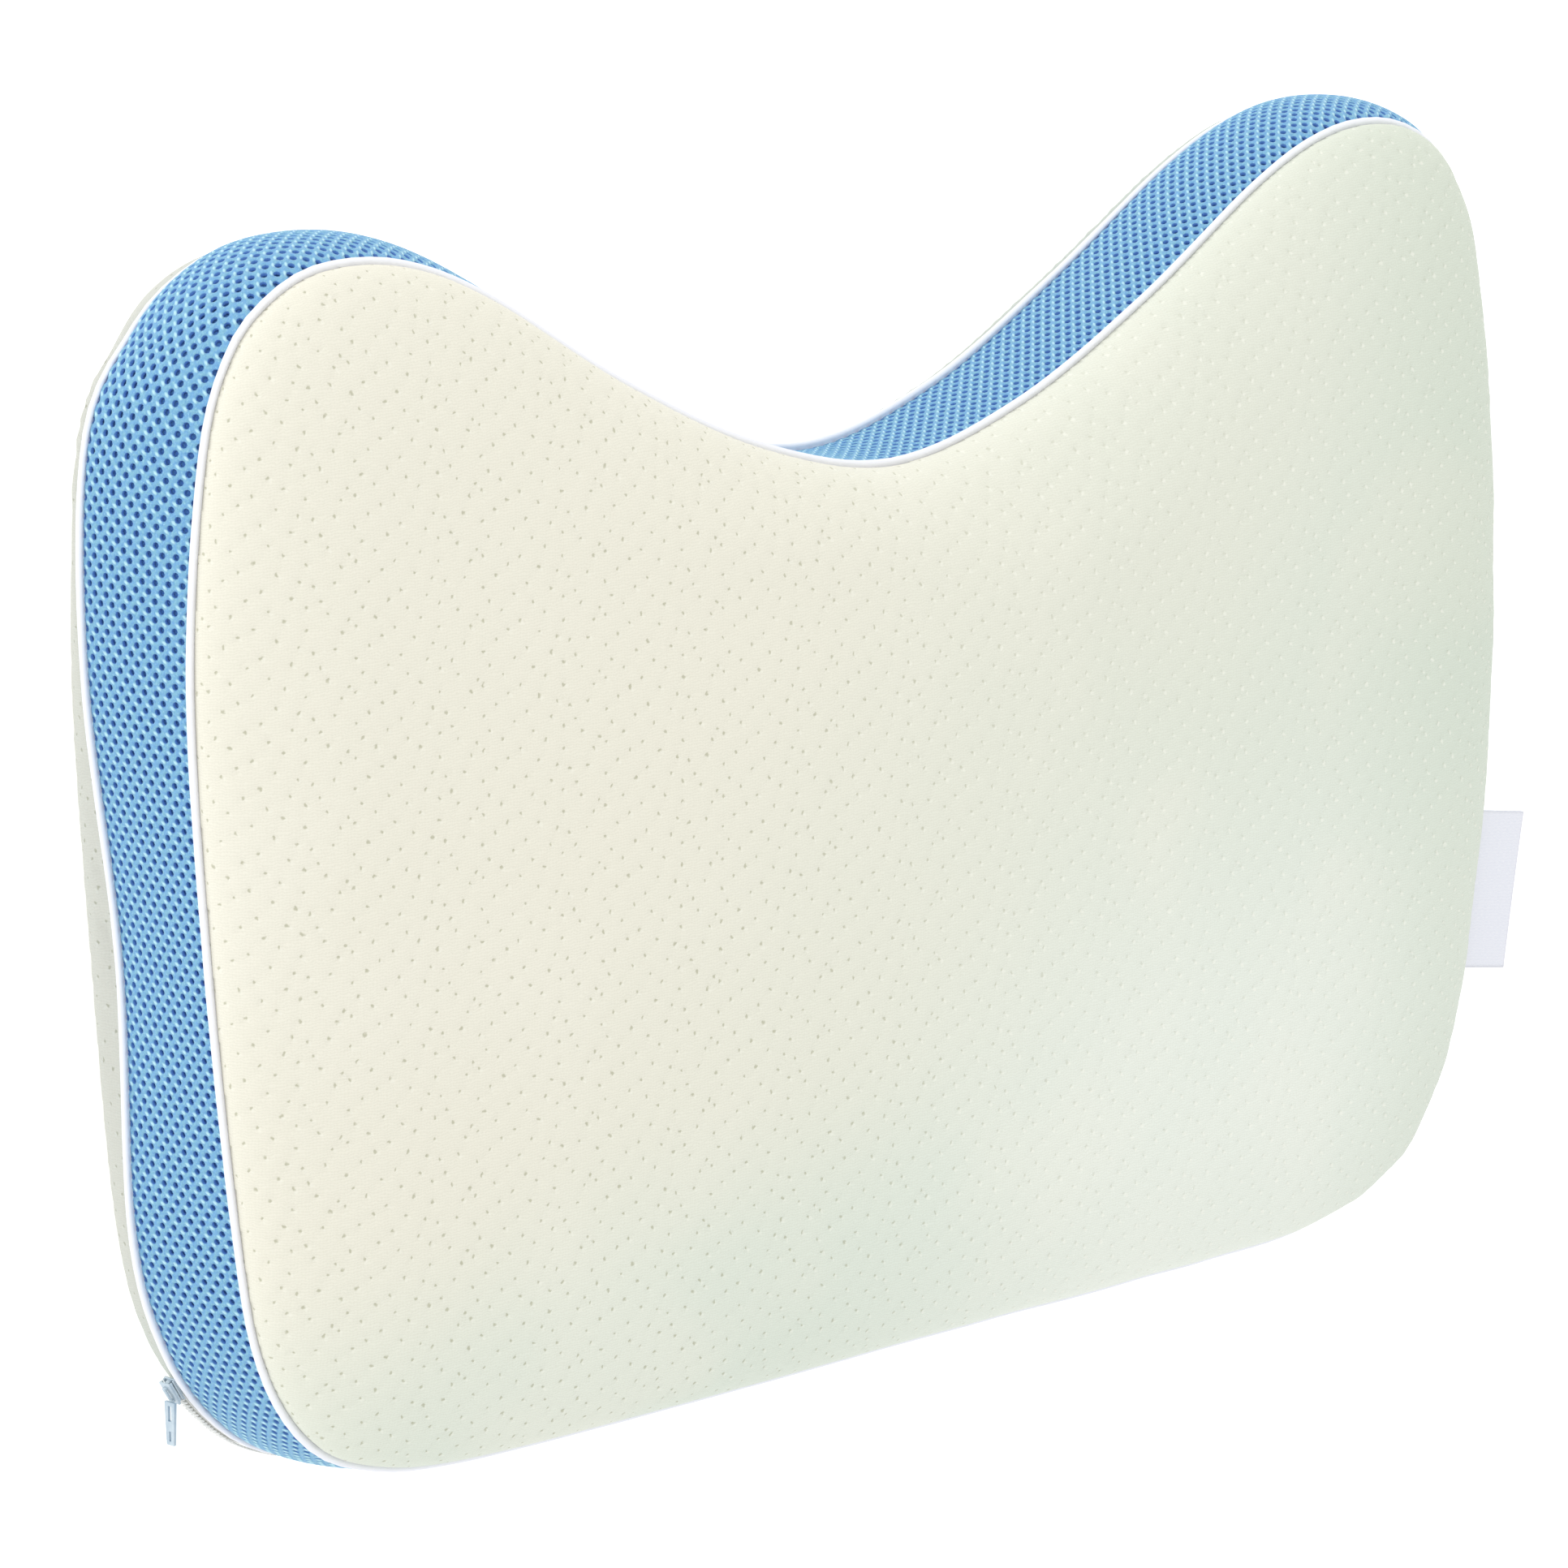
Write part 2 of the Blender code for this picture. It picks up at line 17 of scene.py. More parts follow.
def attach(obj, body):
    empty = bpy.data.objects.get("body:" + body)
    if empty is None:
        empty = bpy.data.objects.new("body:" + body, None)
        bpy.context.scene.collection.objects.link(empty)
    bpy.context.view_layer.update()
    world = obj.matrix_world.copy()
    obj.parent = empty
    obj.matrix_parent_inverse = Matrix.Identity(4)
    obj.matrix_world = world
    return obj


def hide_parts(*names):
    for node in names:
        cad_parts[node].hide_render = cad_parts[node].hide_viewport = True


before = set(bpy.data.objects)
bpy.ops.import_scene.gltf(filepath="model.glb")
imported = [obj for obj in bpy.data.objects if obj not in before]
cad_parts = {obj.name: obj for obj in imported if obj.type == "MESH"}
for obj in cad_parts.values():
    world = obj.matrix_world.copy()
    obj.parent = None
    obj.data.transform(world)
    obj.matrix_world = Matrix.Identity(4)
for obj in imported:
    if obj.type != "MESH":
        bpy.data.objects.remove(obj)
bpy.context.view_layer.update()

bl_info = {
    "name": "Shaped Memory Foam Pillow",
    "version": (1, 0, 0),
    "blender": (4, 5, 0),
    "location": "View3D > Sidebar > Pillow",
    "description": "Dresses a shaped pillow with jersey, spacer mesh, piping, a zip and a label",
    "category": "Add Mesh",
}

MM = 0.001

# The filled form, as in the part
BACK_RISE = 30 * MM
BAND_DEPTH = 41 * MM
FRONT_RISE = 18 * MM
FRONT_CROWN = 14 * MM
CROWN_HALF_LENGTH = 330 * MM
CROWN_HALF_WIDTH = 235 * MM
CROWN_MIDDLE_UP = -15 * MM
BAND_FULLNESS = 0.4
PANEL_CROWN = 1.5 * MM
FRONT_SHOULDER = 54 * MM
BACK_SHOULDER = 50 * MM
FRONT_SEAM_HEIGHT = BACK_RISE + BAND_DEPTH
REAR_SEAM_HEIGHT = BACK_RISE

# The back shoulder's sag: how far in it reaches, and how it leans to the seam
SLUMP_WIDTH = 26 * MM
SLUMP_SKEW = 0.55

# Sewing
SEAM_HALF_GAP = 0.3 * MM
SEAM_ALLOWANCE = 3.5 * MM
PLAIN_EDGE = 4 * MM
PLAIN_EDGE_FADE = 8 * MM
EDGE_BULGE = 0.6 * MM
BULGE_FADE = 0.16
PIPING_RADIUS = 1.05 * MM
PIPING_STAND_OFF = 1.75 * MM

# Spacer mesh
BAND_ROWS = 18
MESH_LAYER_GAP = 1.9 * MM
MESH_LIP = 0.34 * MM
# Where the painted highlight sits beside each hole, in millimetres along and across the band
GLINT_ALONG = -1.0
GLINT_ACROSS = -1.1
BAND_SLOPE_STEP = 0.02
MESH_WALL = 1.3 * MM
MERGE_DISTANCE = 0.02 * MM

# Folded label in the front seam of the right side
LABEL_LENGTH = 57 * MM
LABEL_REACH = 24.5 * MM
LABEL_LAYER = 0.6 * MM
LABEL_FOLD_GAP = 0.7 * MM
LABEL_UP = -88 * MM
LABEL_ABOVE_SEAM = 2.1 * MM
LABEL_CLEARANCE = 2.1 * MM

# Zip along the bottom of the rear seam
ZIP_HALF_LENGTH = 269 * MM
ZIP_BELOW_SEAM = 4.2 * MM
ZIP_STAND_OFF = 2.8 * MM
SLIDER_BRIDGE_RISE = 1.2 * MM

# Camera, at the photo's angle to the face
CAMERA_PLACE = (-1.7199, 0.5138, 1.7795)
CAMERA_RIGHT = (0.71399, -0.00768, 0.70011)
CAMERA_UP = (0.15185, 0.97784, -0.14413)
CAMERA_LENS = 172.3
LAMP_PLACE = (-1.6, 1.4, 1.9)


class Swell(NamedTuple):
    """A soft ridge or trough of the front panel: its middle, half sizes, turn and height."""

    across: float
    up: float
    half_length: float
    half_width: float
    turn: float
    height: float


class PanelForm(NamedTuple):
    """How one face of the pillow is laid out."""

    piece: str
    node: str
    finish: str
    side: int
    seam_height: float
    shoulder: float
    rise: float
    crown: float
    pitch: float
    sags: bool


# The front seam's left half, mirrored, from the neck cut-out's middle over the hump, down the
# side and to the bottom's middle, in millimetres from the pillow's middle: across, up, how far
# the rear seam lies outside it (flare), how far the band swells (crown), and how far the back
# panel's shoulder sags past the rear seam (slump)
HALF_SEAM = (
    (0.0, 101.3, 0.8, 1.0, -1.5),
    (60.8, 114.2, 1.8, 1.8, -2.5),
    (121.1, 141.9, 3.6, 2.8, -4.0),
    (177.9, 175.3, 2.8, 5.5, -2.5),
    (212.5, 189.0, 2.0, 7.5, 0.5),
    (242.9, 191.3, 2.0, 7.6, 1.0),
    (264.5, 184.1, 2.6, 7.6, 1.0),
    (280.6, 169.0, 4.6, 6.6, -1.5),
    (291.6, 138.8, 11.6, 4.0, -4.5),
    (298.3, 70.0, 7.4, 2.4, -0.5),
    (293.8, -19.8, 1.5, 2.0, 6.0),
    (285.0, -104.7, 8.2, 2.0, 1.0),
    (276.8, -145.5, 5.2, 2.2, 1.5),
    (259.9, -172.9, 2.6, 3.0, 0.5),
    (235.3, -186.3, 3.6, 3.6, 0.0),
    (195.0, -192.5, 4.5, 3.0, 0.0),
    (100.0, -194.6, 4.5, 2.0, 0.0),
    (0.0, -195.2, 4.5, 2.0, 0.0),
)
SEAM_STEPS = 32
PLACES_AT_ONCE = 4000
SEAM_READINGS = 4000

# The soft filling lies unevenly: how far the right half lies outside the left one, in
# millimetres, at an angle up from +X in degrees
RIGHT_SLACK = (
    (-90.0, 0.0), (-78.0, 0.5), (-60.0, 2.4), (-52.0, 3.8), (-45.5, 5.2), (-40.5, 3.0), (-36.5, 0.2),
    (-32.0, -2.4), (-27.5, -1.4), (-20.0, 1.4), (-10.0, 3.6), (0.0, 2.6), (8.5, -0.4), (16.5, -2.8),
    (26.0, -4.2), (31.0, -3.8), (35.5, -1.4), (42.0, 0.9), (60.0, 0.0), (90.0, 0.0),
)

# The jersey's repeat, in millimetres: its two steps, how far round it a tuck draws the cloth
# down, and how far up each of the repeat's columns its tucks lie
REPEAT_ACROSS = (49.5, -4.6)
REPEAT_UP = (0.8, 20.1)
TUCK_REACH = 1.5
TUCK_COLUMNS = (
    (5.0,), (19.0,), (10.0,), (1.5,), (13.0,), (7.0,), (18.0,), (4.0,), (11.0,), (16.0,),
    (1.0, 8.0), (14.5,), (10.0,), (6.0,), (15.5,), (0.5,), (4.0,), (2.0, 12.5), (8.0,), (16.0,),
)

FRONT_SWELLS = (
    Swell(-60, 88, 60, 16, -8, 1.2),
    Swell(-40, 62, 90, 12, -10, -0.9),
    Swell(70, 70, 50, 22, 25, 1.4),
    Swell(105, 20, 46, 26, 30, -1.0),
)

FRONT = PanelForm(
    "front_jersey", "front_panel", "padded jersey", 1, FRONT_SEAM_HEIGHT, FRONT_SHOULDER,
    FRONT_RISE - 2 * PANEL_CROWN, FRONT_CROWN, 1.7 * MM, False,
)
# The back panel's finish is the jersey multiplied down by a painted shade, darker and greyer than the
# front.
BACK = PanelForm(
    "back_jersey", "back_panel", "jersey in painted shade", -1, REAR_SEAM_HEIGHT, BACK_SHOULDER,
    BACK_RISE - 2 * PANEL_CROWN, 0.0, 2.3 * MM, True,
)


class PillowLooks(bpy.types.PropertyGroup):
    """Sizes and colours that a maker of the cover would change."""

    hole_size: bpy.props.FloatProperty(
        name="Mesh hole", description="Width of the spacer mesh's holes",
        default=2.15 * MM, unit="LENGTH",
    )
    hole_pitch: bpy.props.FloatProperty(
        name="Hole pitch", description="Distance between holes of one row",
        default=5.6 * MM, unit="LENGTH",
    )
    dimple_depth: bpy.props.FloatProperty(
        name="Dimple depth", description="How deep the jersey is tucked in at a dimple",
        default=0.7 * MM, unit="LENGTH",
    )
    course_pitch: bpy.props.FloatProperty(
        name="Knit course", description="Height of one knitted course of the jersey",
        default=0.9 * MM, unit="LENGTH",
    )
    jersey_colour: bpy.props.FloatVectorProperty(
        name="Jersey", description="Colour of the padded jersey",
        default=(0.82, 0.80, 0.69), subtype="COLOR",
    )
    # The cooler, darker colour is painted shade on the right and bottom of the face.
    jersey_cool_shade_colour: bpy.props.FloatVectorProperty(
        name="Jersey, cool side", description="Colour of the jersey towards its cooler side",
        default=(0.71, 0.77, 0.68), subtype="COLOR",
    )
    yarn_colour: bpy.props.FloatVectorProperty(
        name="Mesh yarn", description="Colour of the spacer mesh's outer yarns",
        default=(0.17, 0.40, 0.68), subtype="COLOR",
    )
    # The glint colour is a painted highlight on the yarns.
    yarn_glint_colour: bpy.props.FloatVectorProperty(
        name="Mesh glint", description="Colour of the lightest yarns of the spacer mesh",
        default=(0.44, 0.74, 0.87), subtype="COLOR",
    )
    # This colour is also painted down the walls of the holes as shade.
    depth_colour: bpy.props.FloatVectorProperty(
        name="Mesh depth", description="Colour of the spacer mesh's inner layer",
        default=(0.09, 0.23, 0.58), subtype="COLOR",
    )
    piping_colour: bpy.props.FloatVectorProperty(
        name="Piping", description="Colour of the piping",
        default=(0.42, 0.48, 0.58), subtype="COLOR",
    )
    zip_colour: bpy.props.FloatVectorProperty(
        name="Zip paint", description="Colour of the painted zip slider and pull",
        default=(0.42, 0.52, 0.60), subtype="COLOR",
    )
    label_colour: bpy.props.FloatVectorProperty(
        name="Label", description="Colour of the woven label",
        default=(0.86, 0.87, 0.92), subtype="COLOR",
    )
    daylight: bpy.props.FloatProperty(
        name="Daylight", description="Strength of the even light from all round",
        default=0.95, min=0.0,
    )
    floor_glow: bpy.props.FloatProperty(
        name="Floor glow", description="Strength of the light table under the pillow",
        default=0.4, min=0.0,
    )
    key_light: bpy.props.FloatProperty(
        name="Key light", description="Power of the large lamp", default=14.0, min=0.0,
    )


def smooth_points(before, start, end, after, shares):
    """Points on the smooth curve between start and end."""
    t = shares[:, None]
    return 0.5 * (
        2 * start
        + (end - before) * t
        + (2 * before - 5 * start + 4 * end - after) * t**2
        + (3 * start - before - 3 * end + after) * t**3
    )


def seam_table():
    """The front seam's closely spaced points, with the flare, crown and slump at each."""
    half = np.array(HALF_SEAM) * MM
    flip = np.array((-1.0, 1.0, 1.0, 1.0, 1.0))
    padded = np.vstack([half[1] * flip, half, half[-2] * flip])
    shares = np.arange(SEAM_STEPS) / SEAM_STEPS
    runs = [smooth_points(*padded[i : i + 4], shares) for i in range(len(half) - 1)]
    right = np.vstack([*runs, half[-1:]])
    left = (right * flip)[-2:0:-1]
    reach = np.linalg.norm(right[:, :2], axis=1)
    angle = np.degrees(np.arctan2(right[:, 1], right[:, 0]))
    right[:, :2] *= (1 + slack_at(angle) * MM / reach)[:, None]
    return np.vstack([right, left])


def slack_at(angle):
    """The right half's slack, in millimetres, eased from one angle of its table to the next."""
    angles, outwards = np.array(RIGHT_SLACK).T
    low = np.clip(np.searchsorted(angles, angle, side="right") - 1, 0, len(angles) - 2)
    share = (angle - angles[low]) / (angles[low + 1] - angles[low])
    return outwards[low] + (outwards[low + 1] - outwards[low]) * share**2 * (3 - 2 * share)


class Seam:
    """A seam's outline, with its way round and the direction out of the pillow."""

    def __init__(self, points):
        self.points = points
        following = np.roll(points, -1, axis=0)
        steps = np.linalg.norm(following - points, axis=1)
        self.way = np.concatenate([[0.0], np.cumsum(steps)])
        self.length = self.way[-1]
        along = following - np.roll(points, 1, axis=0)
        along /= np.linalg.norm(along, axis=1)[:, None]
        self.outward = np.stack([-along[:, 1], along[:, 0]], axis=1)

    def read(self, way, values):
        """Values given at the outline's points, read at ways round from the neck."""
        return np.interp(np.mod(way, self.length), self.way, np.append(values, values[0]))

    def at(self, way):
        """Points of the seam and their outward directions, at ways round from the neck."""
        points, outward = (
            np.stack([self.read(way, table[:, k]) for k in (0, 1)], axis=1)
            for table in (self.points, self.outward)
        )
        return points, outward / np.linalg.norm(outward, axis=1)[:, None]

    def nearest(self, places):
        """Index of the outline's point that is nearest to each place."""
        found = np.empty(len(places), int)
        for first in range(0, len(places), PLACES_AT_ONCE):
            part = slice(first, first + PLACES_AT_ONCE)
            gaps = places[part, None, :] - self.points[None, :, :]
            found[part] = np.argmin((gaps**2).sum(axis=2), axis=1)
        return found

    def foot(self, places):
        """Distance in from the seam, negative outside, and the outward direction there."""
        nearest = self.nearest(places)
        best = np.full(len(places), np.inf)
        inset = np.zeros(len(places))
        outward = np.zeros((len(places), 2))
        count = len(self.points)
        for start in ((nearest - 1) % count, nearest):
            end = (start + 1) % count
            run = self.points[end] - self.points[start]
            share = ((places - self.points[start]) * run).sum(1) / (run**2).sum(1)
            share = np.clip(share, 0.0, 1.0)[:, None]
            gap = places - self.points[start] - run * share
            distance = np.linalg.norm(gap, axis=1)
            way_out = self.outward[start] * (1 - share) + self.outward[end] * share
            sign = np.where((gap * way_out).sum(1) > 0, -1.0, 1.0)
            better = distance < best
            best = np.where(better, distance, best)
            inset = np.where(better, distance * sign, inset)
            outward = np.where(better[:, None], way_out, outward)
        return inset, outward / np.linalg.norm(outward, axis=1)[:, None]


SEAM_TABLE = seam_table()
FLARE, CROWN, SLUMP = SEAM_TABLE[:, 2:].T
FRONT_SEAM = Seam(SEAM_TABLE[:, :2])
REAR_SEAM = Seam(FRONT_SEAM.points + FRONT_SEAM.outward * FLARE[:, None])


def select_none():
    """Nothing selected, in object mode."""
    if bpy.context.object and bpy.context.object.mode != "OBJECT":
        bpy.ops.object.mode_set(mode="OBJECT")
    bpy.ops.object.select_all(action="DESELECT")


def only(piece):
    """Make a piece the only selected and the active one."""
    select_none()
    piece.select_set(True)
    bpy.context.view_layer.objects.active = piece


def apply_place(piece):
    """Put a piece's place into its mesh."""
    only(piece)
    bpy.ops.object.transform_apply(location=True, rotation=True, scale=True)


def apply_modifiers(piece):
    only(piece)
    for modifier in list(piece.modifiers):
        bpy.ops.object.modifier_apply(modifier=modifier.name)


def edit(piece, operator, **settings):
    """Run an operator on the whole of a piece's mesh."""
    only(piece)
    bpy.ops.object.mode_set(mode="EDIT")
    bpy.ops.mesh.select_all(action="SELECT")
    operator(**settings)
    bpy.ops.object.mode_set(mode="OBJECT")


def add_primitive(operator, **settings):
    """The object that one of Blender's primitives makes."""
    select_none()
    operator(**settings)
    return bpy.context.object


def add_grid(name, columns, rows, size, place=(0, 0, 0)):
    """Flat cloth as a grid, its size and middle in its mesh."""
    cloth = add_primitive(
        bpy.ops.mesh.primitive_grid_add, x_subdivisions=columns, y_subdivisions=rows, size=1.0
    )
    cloth.name = cloth.data.name = name
    cloth.scale = (*size, 1.0)
    cloth.location = place
    apply_place(cloth)
    return cloth


def join(name, pieces):
    """One object of several."""
    only(pieces[0])
    for piece in pieces[1:]:
        piece.select_set(True)
    bpy.ops.object.join()
    joined = bpy.context.object
    joined.name = joined.data.name = name
    return joined


def positions(piece):
    """A mesh's points, as rows of three."""
    values = np.empty(len(piece.data.vertices) * 3)
    piece.data.vertices.foreach_get("co", values)
    return values.reshape(-1, 3)


def set_positions(piece, points):
    piece.data.vertices.foreach_set("co", np.ascontiguousarray(points, np.float32).ravel())
    piece.data.update()


def normals(piece):
    """A mesh's directions outwards at its points."""
    values = np.empty(len(piece.data.vertices) * 3, np.float32)
    piece.data.vertex_normals.foreach_get("vector", values)
    return values.reshape(-1, 3).astype(float)


def set_flat_map(piece, flat):
    """A UV map that holds each point's place on the flat cloth."""
    layer = piece.data.uv_layers.get("cloth") or piece.data.uv_layers.new(name="cloth")
    corners = np.empty(len(piece.data.loops), np.int32)
    piece.data.loops.foreach_get("vertex_index", corners)
    layer.data.foreach_set("uv", flat[corners, :2].astype(np.float32).ravel())
    piece.data.uv_layers.active = layer


def tie(piece, node):
    """Smooth a piece, tie it to the model and let it stand for its node."""
    piece.data.shade_smooth()
    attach(piece, "root")
    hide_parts(node)


def finish_with(piece, name):
    """Give a piece one finish."""
    piece.data.materials.clear()
    piece.data.materials.append(bpy.data.materials[name])


def join_layers(name, layers):
    """One object of several pieces, each with its own finish."""
    for finish, piece in layers.items():
        finish_with(piece, finish)
    return join(name, list(layers.values()))


class Finish:
    """A material's nodes, with short ways to add them and join them up."""

    def __init__(self, name, roughness, sheen=0.0, specular=0.3):
        self.material = bpy.data.materials.new(name)
        self.material.use_nodes = True
        self.tree = self.material.node_tree
        self.shader = self.tree.nodes["Principled BSDF"]
        self.shader.inputs["Roughness"].default_value = roughness
        self.shader.inputs["Sheen Weight"].default_value = sheen
        self.shader.inputs["Specular IOR Level"].default_value = specular

    def add(self, kind, inputs=None, **settings):
        """A node with its settings, and its inputs set or joined by name or number."""
        node = self.tree.nodes.new(kind)
        for name, value in settings.items():
            setattr(node, name, value)
        for key, value in (inputs or {}).items():
            self.put(node.inputs[key], value)
        return node

    def put(self, socket, value):
        if isinstance(value, bpy.types.NodeSocket):
            self.tree.links.new(value, socket)
        elif isinstance(value, bpy.types.Node):
            self.tree.links.new(value.outputs[0], socket)
        else:
            socket.default_value = value

    def math(self, operation, first, second=0.0, third=0.0):
        inputs = {0: first, 1: second, 2: third}
        return self.add("ShaderNodeMath", inputs, operation=operation).outputs[0]

    def vector(self, operation, first, second=(0.0, 0.0, 0.0), third=None):
        inputs = {0: first, 1: second} | ({} if third is None else {2: third})
        node = self.add("ShaderNodeVectorMath", inputs, operation=operation)
        return node.outputs["Value"] if operation in ("LENGTH", "DOT_PRODUCT") else node.outputs[0]

    def wave(self, value, pitch):
        """A sine over a value, which repeats at the pitch."""
        return self.math("SINE", self.math("MULTIPLY", value, 2 * math.pi / pitch))

    def ramp(self, value, low, high, start=0.0, end=1.0):
        """A value that eases from start to end as another goes from low to high."""
        inputs = {"Value": value, "From Min": low, "From Max": high, "To Min": start, "To Max": end}
        return self.add("ShaderNodeMapRange", inputs, interpolation_type="SMOOTHSTEP").outputs[0]

    def noise(self, place, scale, detail=2.0, roughness=0.5):
        inputs = {"Vector": place, "Scale": scale, "Detail": detail, "Roughness": roughness}
        return self.add("ShaderNodeTexNoise", inputs).outputs[0]

    def mix(self, share, first, second, blend="MIX"):
        """A colour between two others."""
        node = self.add("ShaderNodeMix", data_type="RGBA", blend_type=blend)
        self.put(node.inputs["Factor"], share)
        self.put(node.inputs["A"], self.colour(first))
        self.put(node.inputs["B"], self.colour(second))
        return next(s for s in node.outputs if s.type == "RGBA")

    def colour(self, value):
        if isinstance(value, bpy.types.NodeSocket):
            return value
        return (*tuple(value)[:3], 1.0)

    def cloth(self):
        """The place on the flat cloth, in millimetres."""
        flat = self.add("ShaderNodeUVMap", uv_map="cloth")
        return self.vector("MULTIPLY", flat.outputs[0], (1 / MM, 1 / MM, 0.0))

    def object_place(self):
        """The place on the pillow, in metres."""
        return self.add("ShaderNodeTexCoord").outputs["Object"]

    def bump(self, height, strength, distance):
        """Relief, its height between 0 and 1 and its depth the distance."""
        node = self.add("ShaderNodeBump")
        node.inputs["Strength"].default_value = strength
        node.inputs["Distance"].default_value = distance
        self.put(node.inputs["Height"], height)
        self.put(self.shader.inputs["Normal"], node.outputs[0])

    def paint(self, colour):
        self.put(self.shader.inputs["Base Color"], self.colour(colour))


def jersey_repeat():
    """The repeat's size, the rows that turn the cloth into its square frame, and the tucks there."""
    steps = np.array((REPEAT_ACROSS, REPEAT_UP))
    size = np.linalg.norm(steps, axis=1)
    column = size[0] / len(TUCK_COLUMNS)
    tucks = [(column * k, up) for k, heights in enumerate(TUCK_COLUMNS) for up in heights]
    return size, np.linalg.inv(steps).T * size[:, None], tucks


def dimple_distance(finish, cloth):
    """Distance from the nearest dimple of the repeat, in millimetres."""
    size, rows, tucks = jersey_repeat()
    parts = {k: finish.vector("DOT_PRODUCT", cloth, (*rows[k], 0.0)) for k in (0, 1)}
    square = finish.add("ShaderNodeCombineXYZ", parts).outputs[0]
    half = (size[0] / 2, size[1] / 2, 1.0)
    nearest = None
    for tuck in tucks:
        away = finish.vector("SUBTRACT", square, (*tuck, 0.0))
        wrapped = finish.vector("WRAP", away, half, tuple(-x for x in half))
        distance = finish.vector("LENGTH", wrapped)
        nearest = distance if nearest is None else finish.math("MINIMUM", nearest, distance)
    return nearest


def jersey_finish(looks, name, painted_shade):
    """Padded jersey: fine courses and wales, tucked dimples with painted shade in them and a painted
    highlight beside each, warm to cool over the face with painted shade towards the right and bottom,
    and multiplied by a painted shade.
    """
    finish = Finish(name, 0.92, sheen=0.1, specular=0.12)
    cloth = finish.cloth()
    place = finish.object_place()
    where = finish.add("ShaderNodeSeparateXYZ", {0: place})
    across, up = where.outputs[0], where.outputs[1]
    stir = finish.add("ShaderNodeTexNoise", {"Vector": cloth, "Scale": 0.45}).outputs[1]
    stir = finish.vector("SUBTRACT", stir, (0.5, 0.5, 0.5))
    wavy = finish.vector("MULTIPLY_ADD", stir, (2.2, 2.2, 0.0), cloth)
    distance = dimple_distance(finish, wavy)
    # Just beside each dimple, offset from it, the cloth gets a painted highlight.
    beside = finish.vector("ADD", wavy, (-0.75, 0.7, 0.0))
    pit = finish.ramp(distance, 0.2, 0.8, 1.0, 0.0)
    bump = finish.ramp(dimple_distance(finish, beside), 0.2, 0.95, 1.0, 0.0)
    to_right = finish.ramp(across, -0.16, 0.17)
    parts = finish.add("ShaderNodeSeparateXYZ", {0: wavy})
    course = finish.wave(parts.outputs[1], looks.course_pitch / MM)
    wale = finish.wave(parts.outputs[0], 1.3 * looks.course_pitch / MM)
    knit = finish.math("MULTIPLY_ADD", course, 0.3, 0.5)
    knit = finish.math("MULTIPLY_ADD", wale, 0.14, knit)
    fuzz = finish.noise(cloth, 1.8, 3.0, 0.7)
    knit = finish.math("MULTIPLY_ADD", fuzz, 0.35, knit)
    # Painted shade: the jersey turns cooler and darker towards the right and the bottom, away from
    # the lamp, with some noise in it.
    cool_shade = finish.math("MULTIPLY_ADD", across, 2.0, 0.40)
    cool_shade = finish.math("MULTIPLY_ADD", up, -1.5, cool_shade)
    cool_shade = finish.math("MULTIPLY_ADD", finish.noise(place, 5.0, 1.0), 0.5, cool_shade)
    cool_shade = finish.math("ADD", cool_shade, finish.ramp(up, -0.19, -0.08, 0.6, 0.0))
    cool_shade = finish.ramp(cool_shade, 0.2, 1.25)
    base = finish.mix(cool_shade, looks.jersey_colour, looks.jersey_cool_shade_colour)
    patch = finish.ramp(finish.noise(place, 9.0, 2.0), 0.48, 0.72, 0.0, 0.35)
    base = finish.mix(patch, base, (0.86, 0.84, 0.74))
    low_right = finish.math(
        "MULTIPLY", finish.ramp(across, -0.08, 0.12), finish.ramp(up, -0.12, 0.02, 0.5, 0.0))
    base = finish.mix(low_right, base, (0.89, 0.92, 0.86))
    # Painted shade towards the right end of the face.
    base = finish.mix(finish.ramp(across, 0.17, 0.27, 0.0, 0.4), base, (0.60, 0.68, 0.57))
    base = finish.mix(finish.ramp(knit, 0.25, 0.95, 0.12, 0.0), base, (0.44, 0.43, 0.34))
    # Painted highlight beside each dimple, stronger towards the right of the face.
    painted_highlight = finish.math("MULTIPLY", bump, finish.ramp(to_right, 0.0, 1.0, 0.25, 0.45))
    base = finish.mix(painted_highlight, base, (0.93, 0.93, 0.84))
    # Painted shade in each dimple, darker towards the left of the face.
    tucked = finish.math("MULTIPLY", pit, finish.ramp(to_right, 0.0, 1.0, 0.62, 0.14))
    base = finish.mix(tucked, base, (0.38, 0.38, 0.25))
    # Multiplied by a painted shade: white, so no shade, for the front, darker and greyer for the
    # back.
    finish.paint(finish.mix(1.0, base, painted_shade, "MULTIPLY"))
    relief = finish.math("MULTIPLY_ADD", knit, 0.22, 0.6)
    relief = finish.math("MULTIPLY_ADD", pit, -0.3, relief)
    finish.bump(relief, 0.7, 0.35 * MM)
    return finish.material


def mesh_lattice(looks):
    """Count of holes round the band, half their pitch along it and the gap between rows."""
    count = round(FRONT_SEAM.length / looks.hole_pitch)
    return count, FRONT_SEAM.length / count / 2, BAND_DEPTH / BAND_ROWS


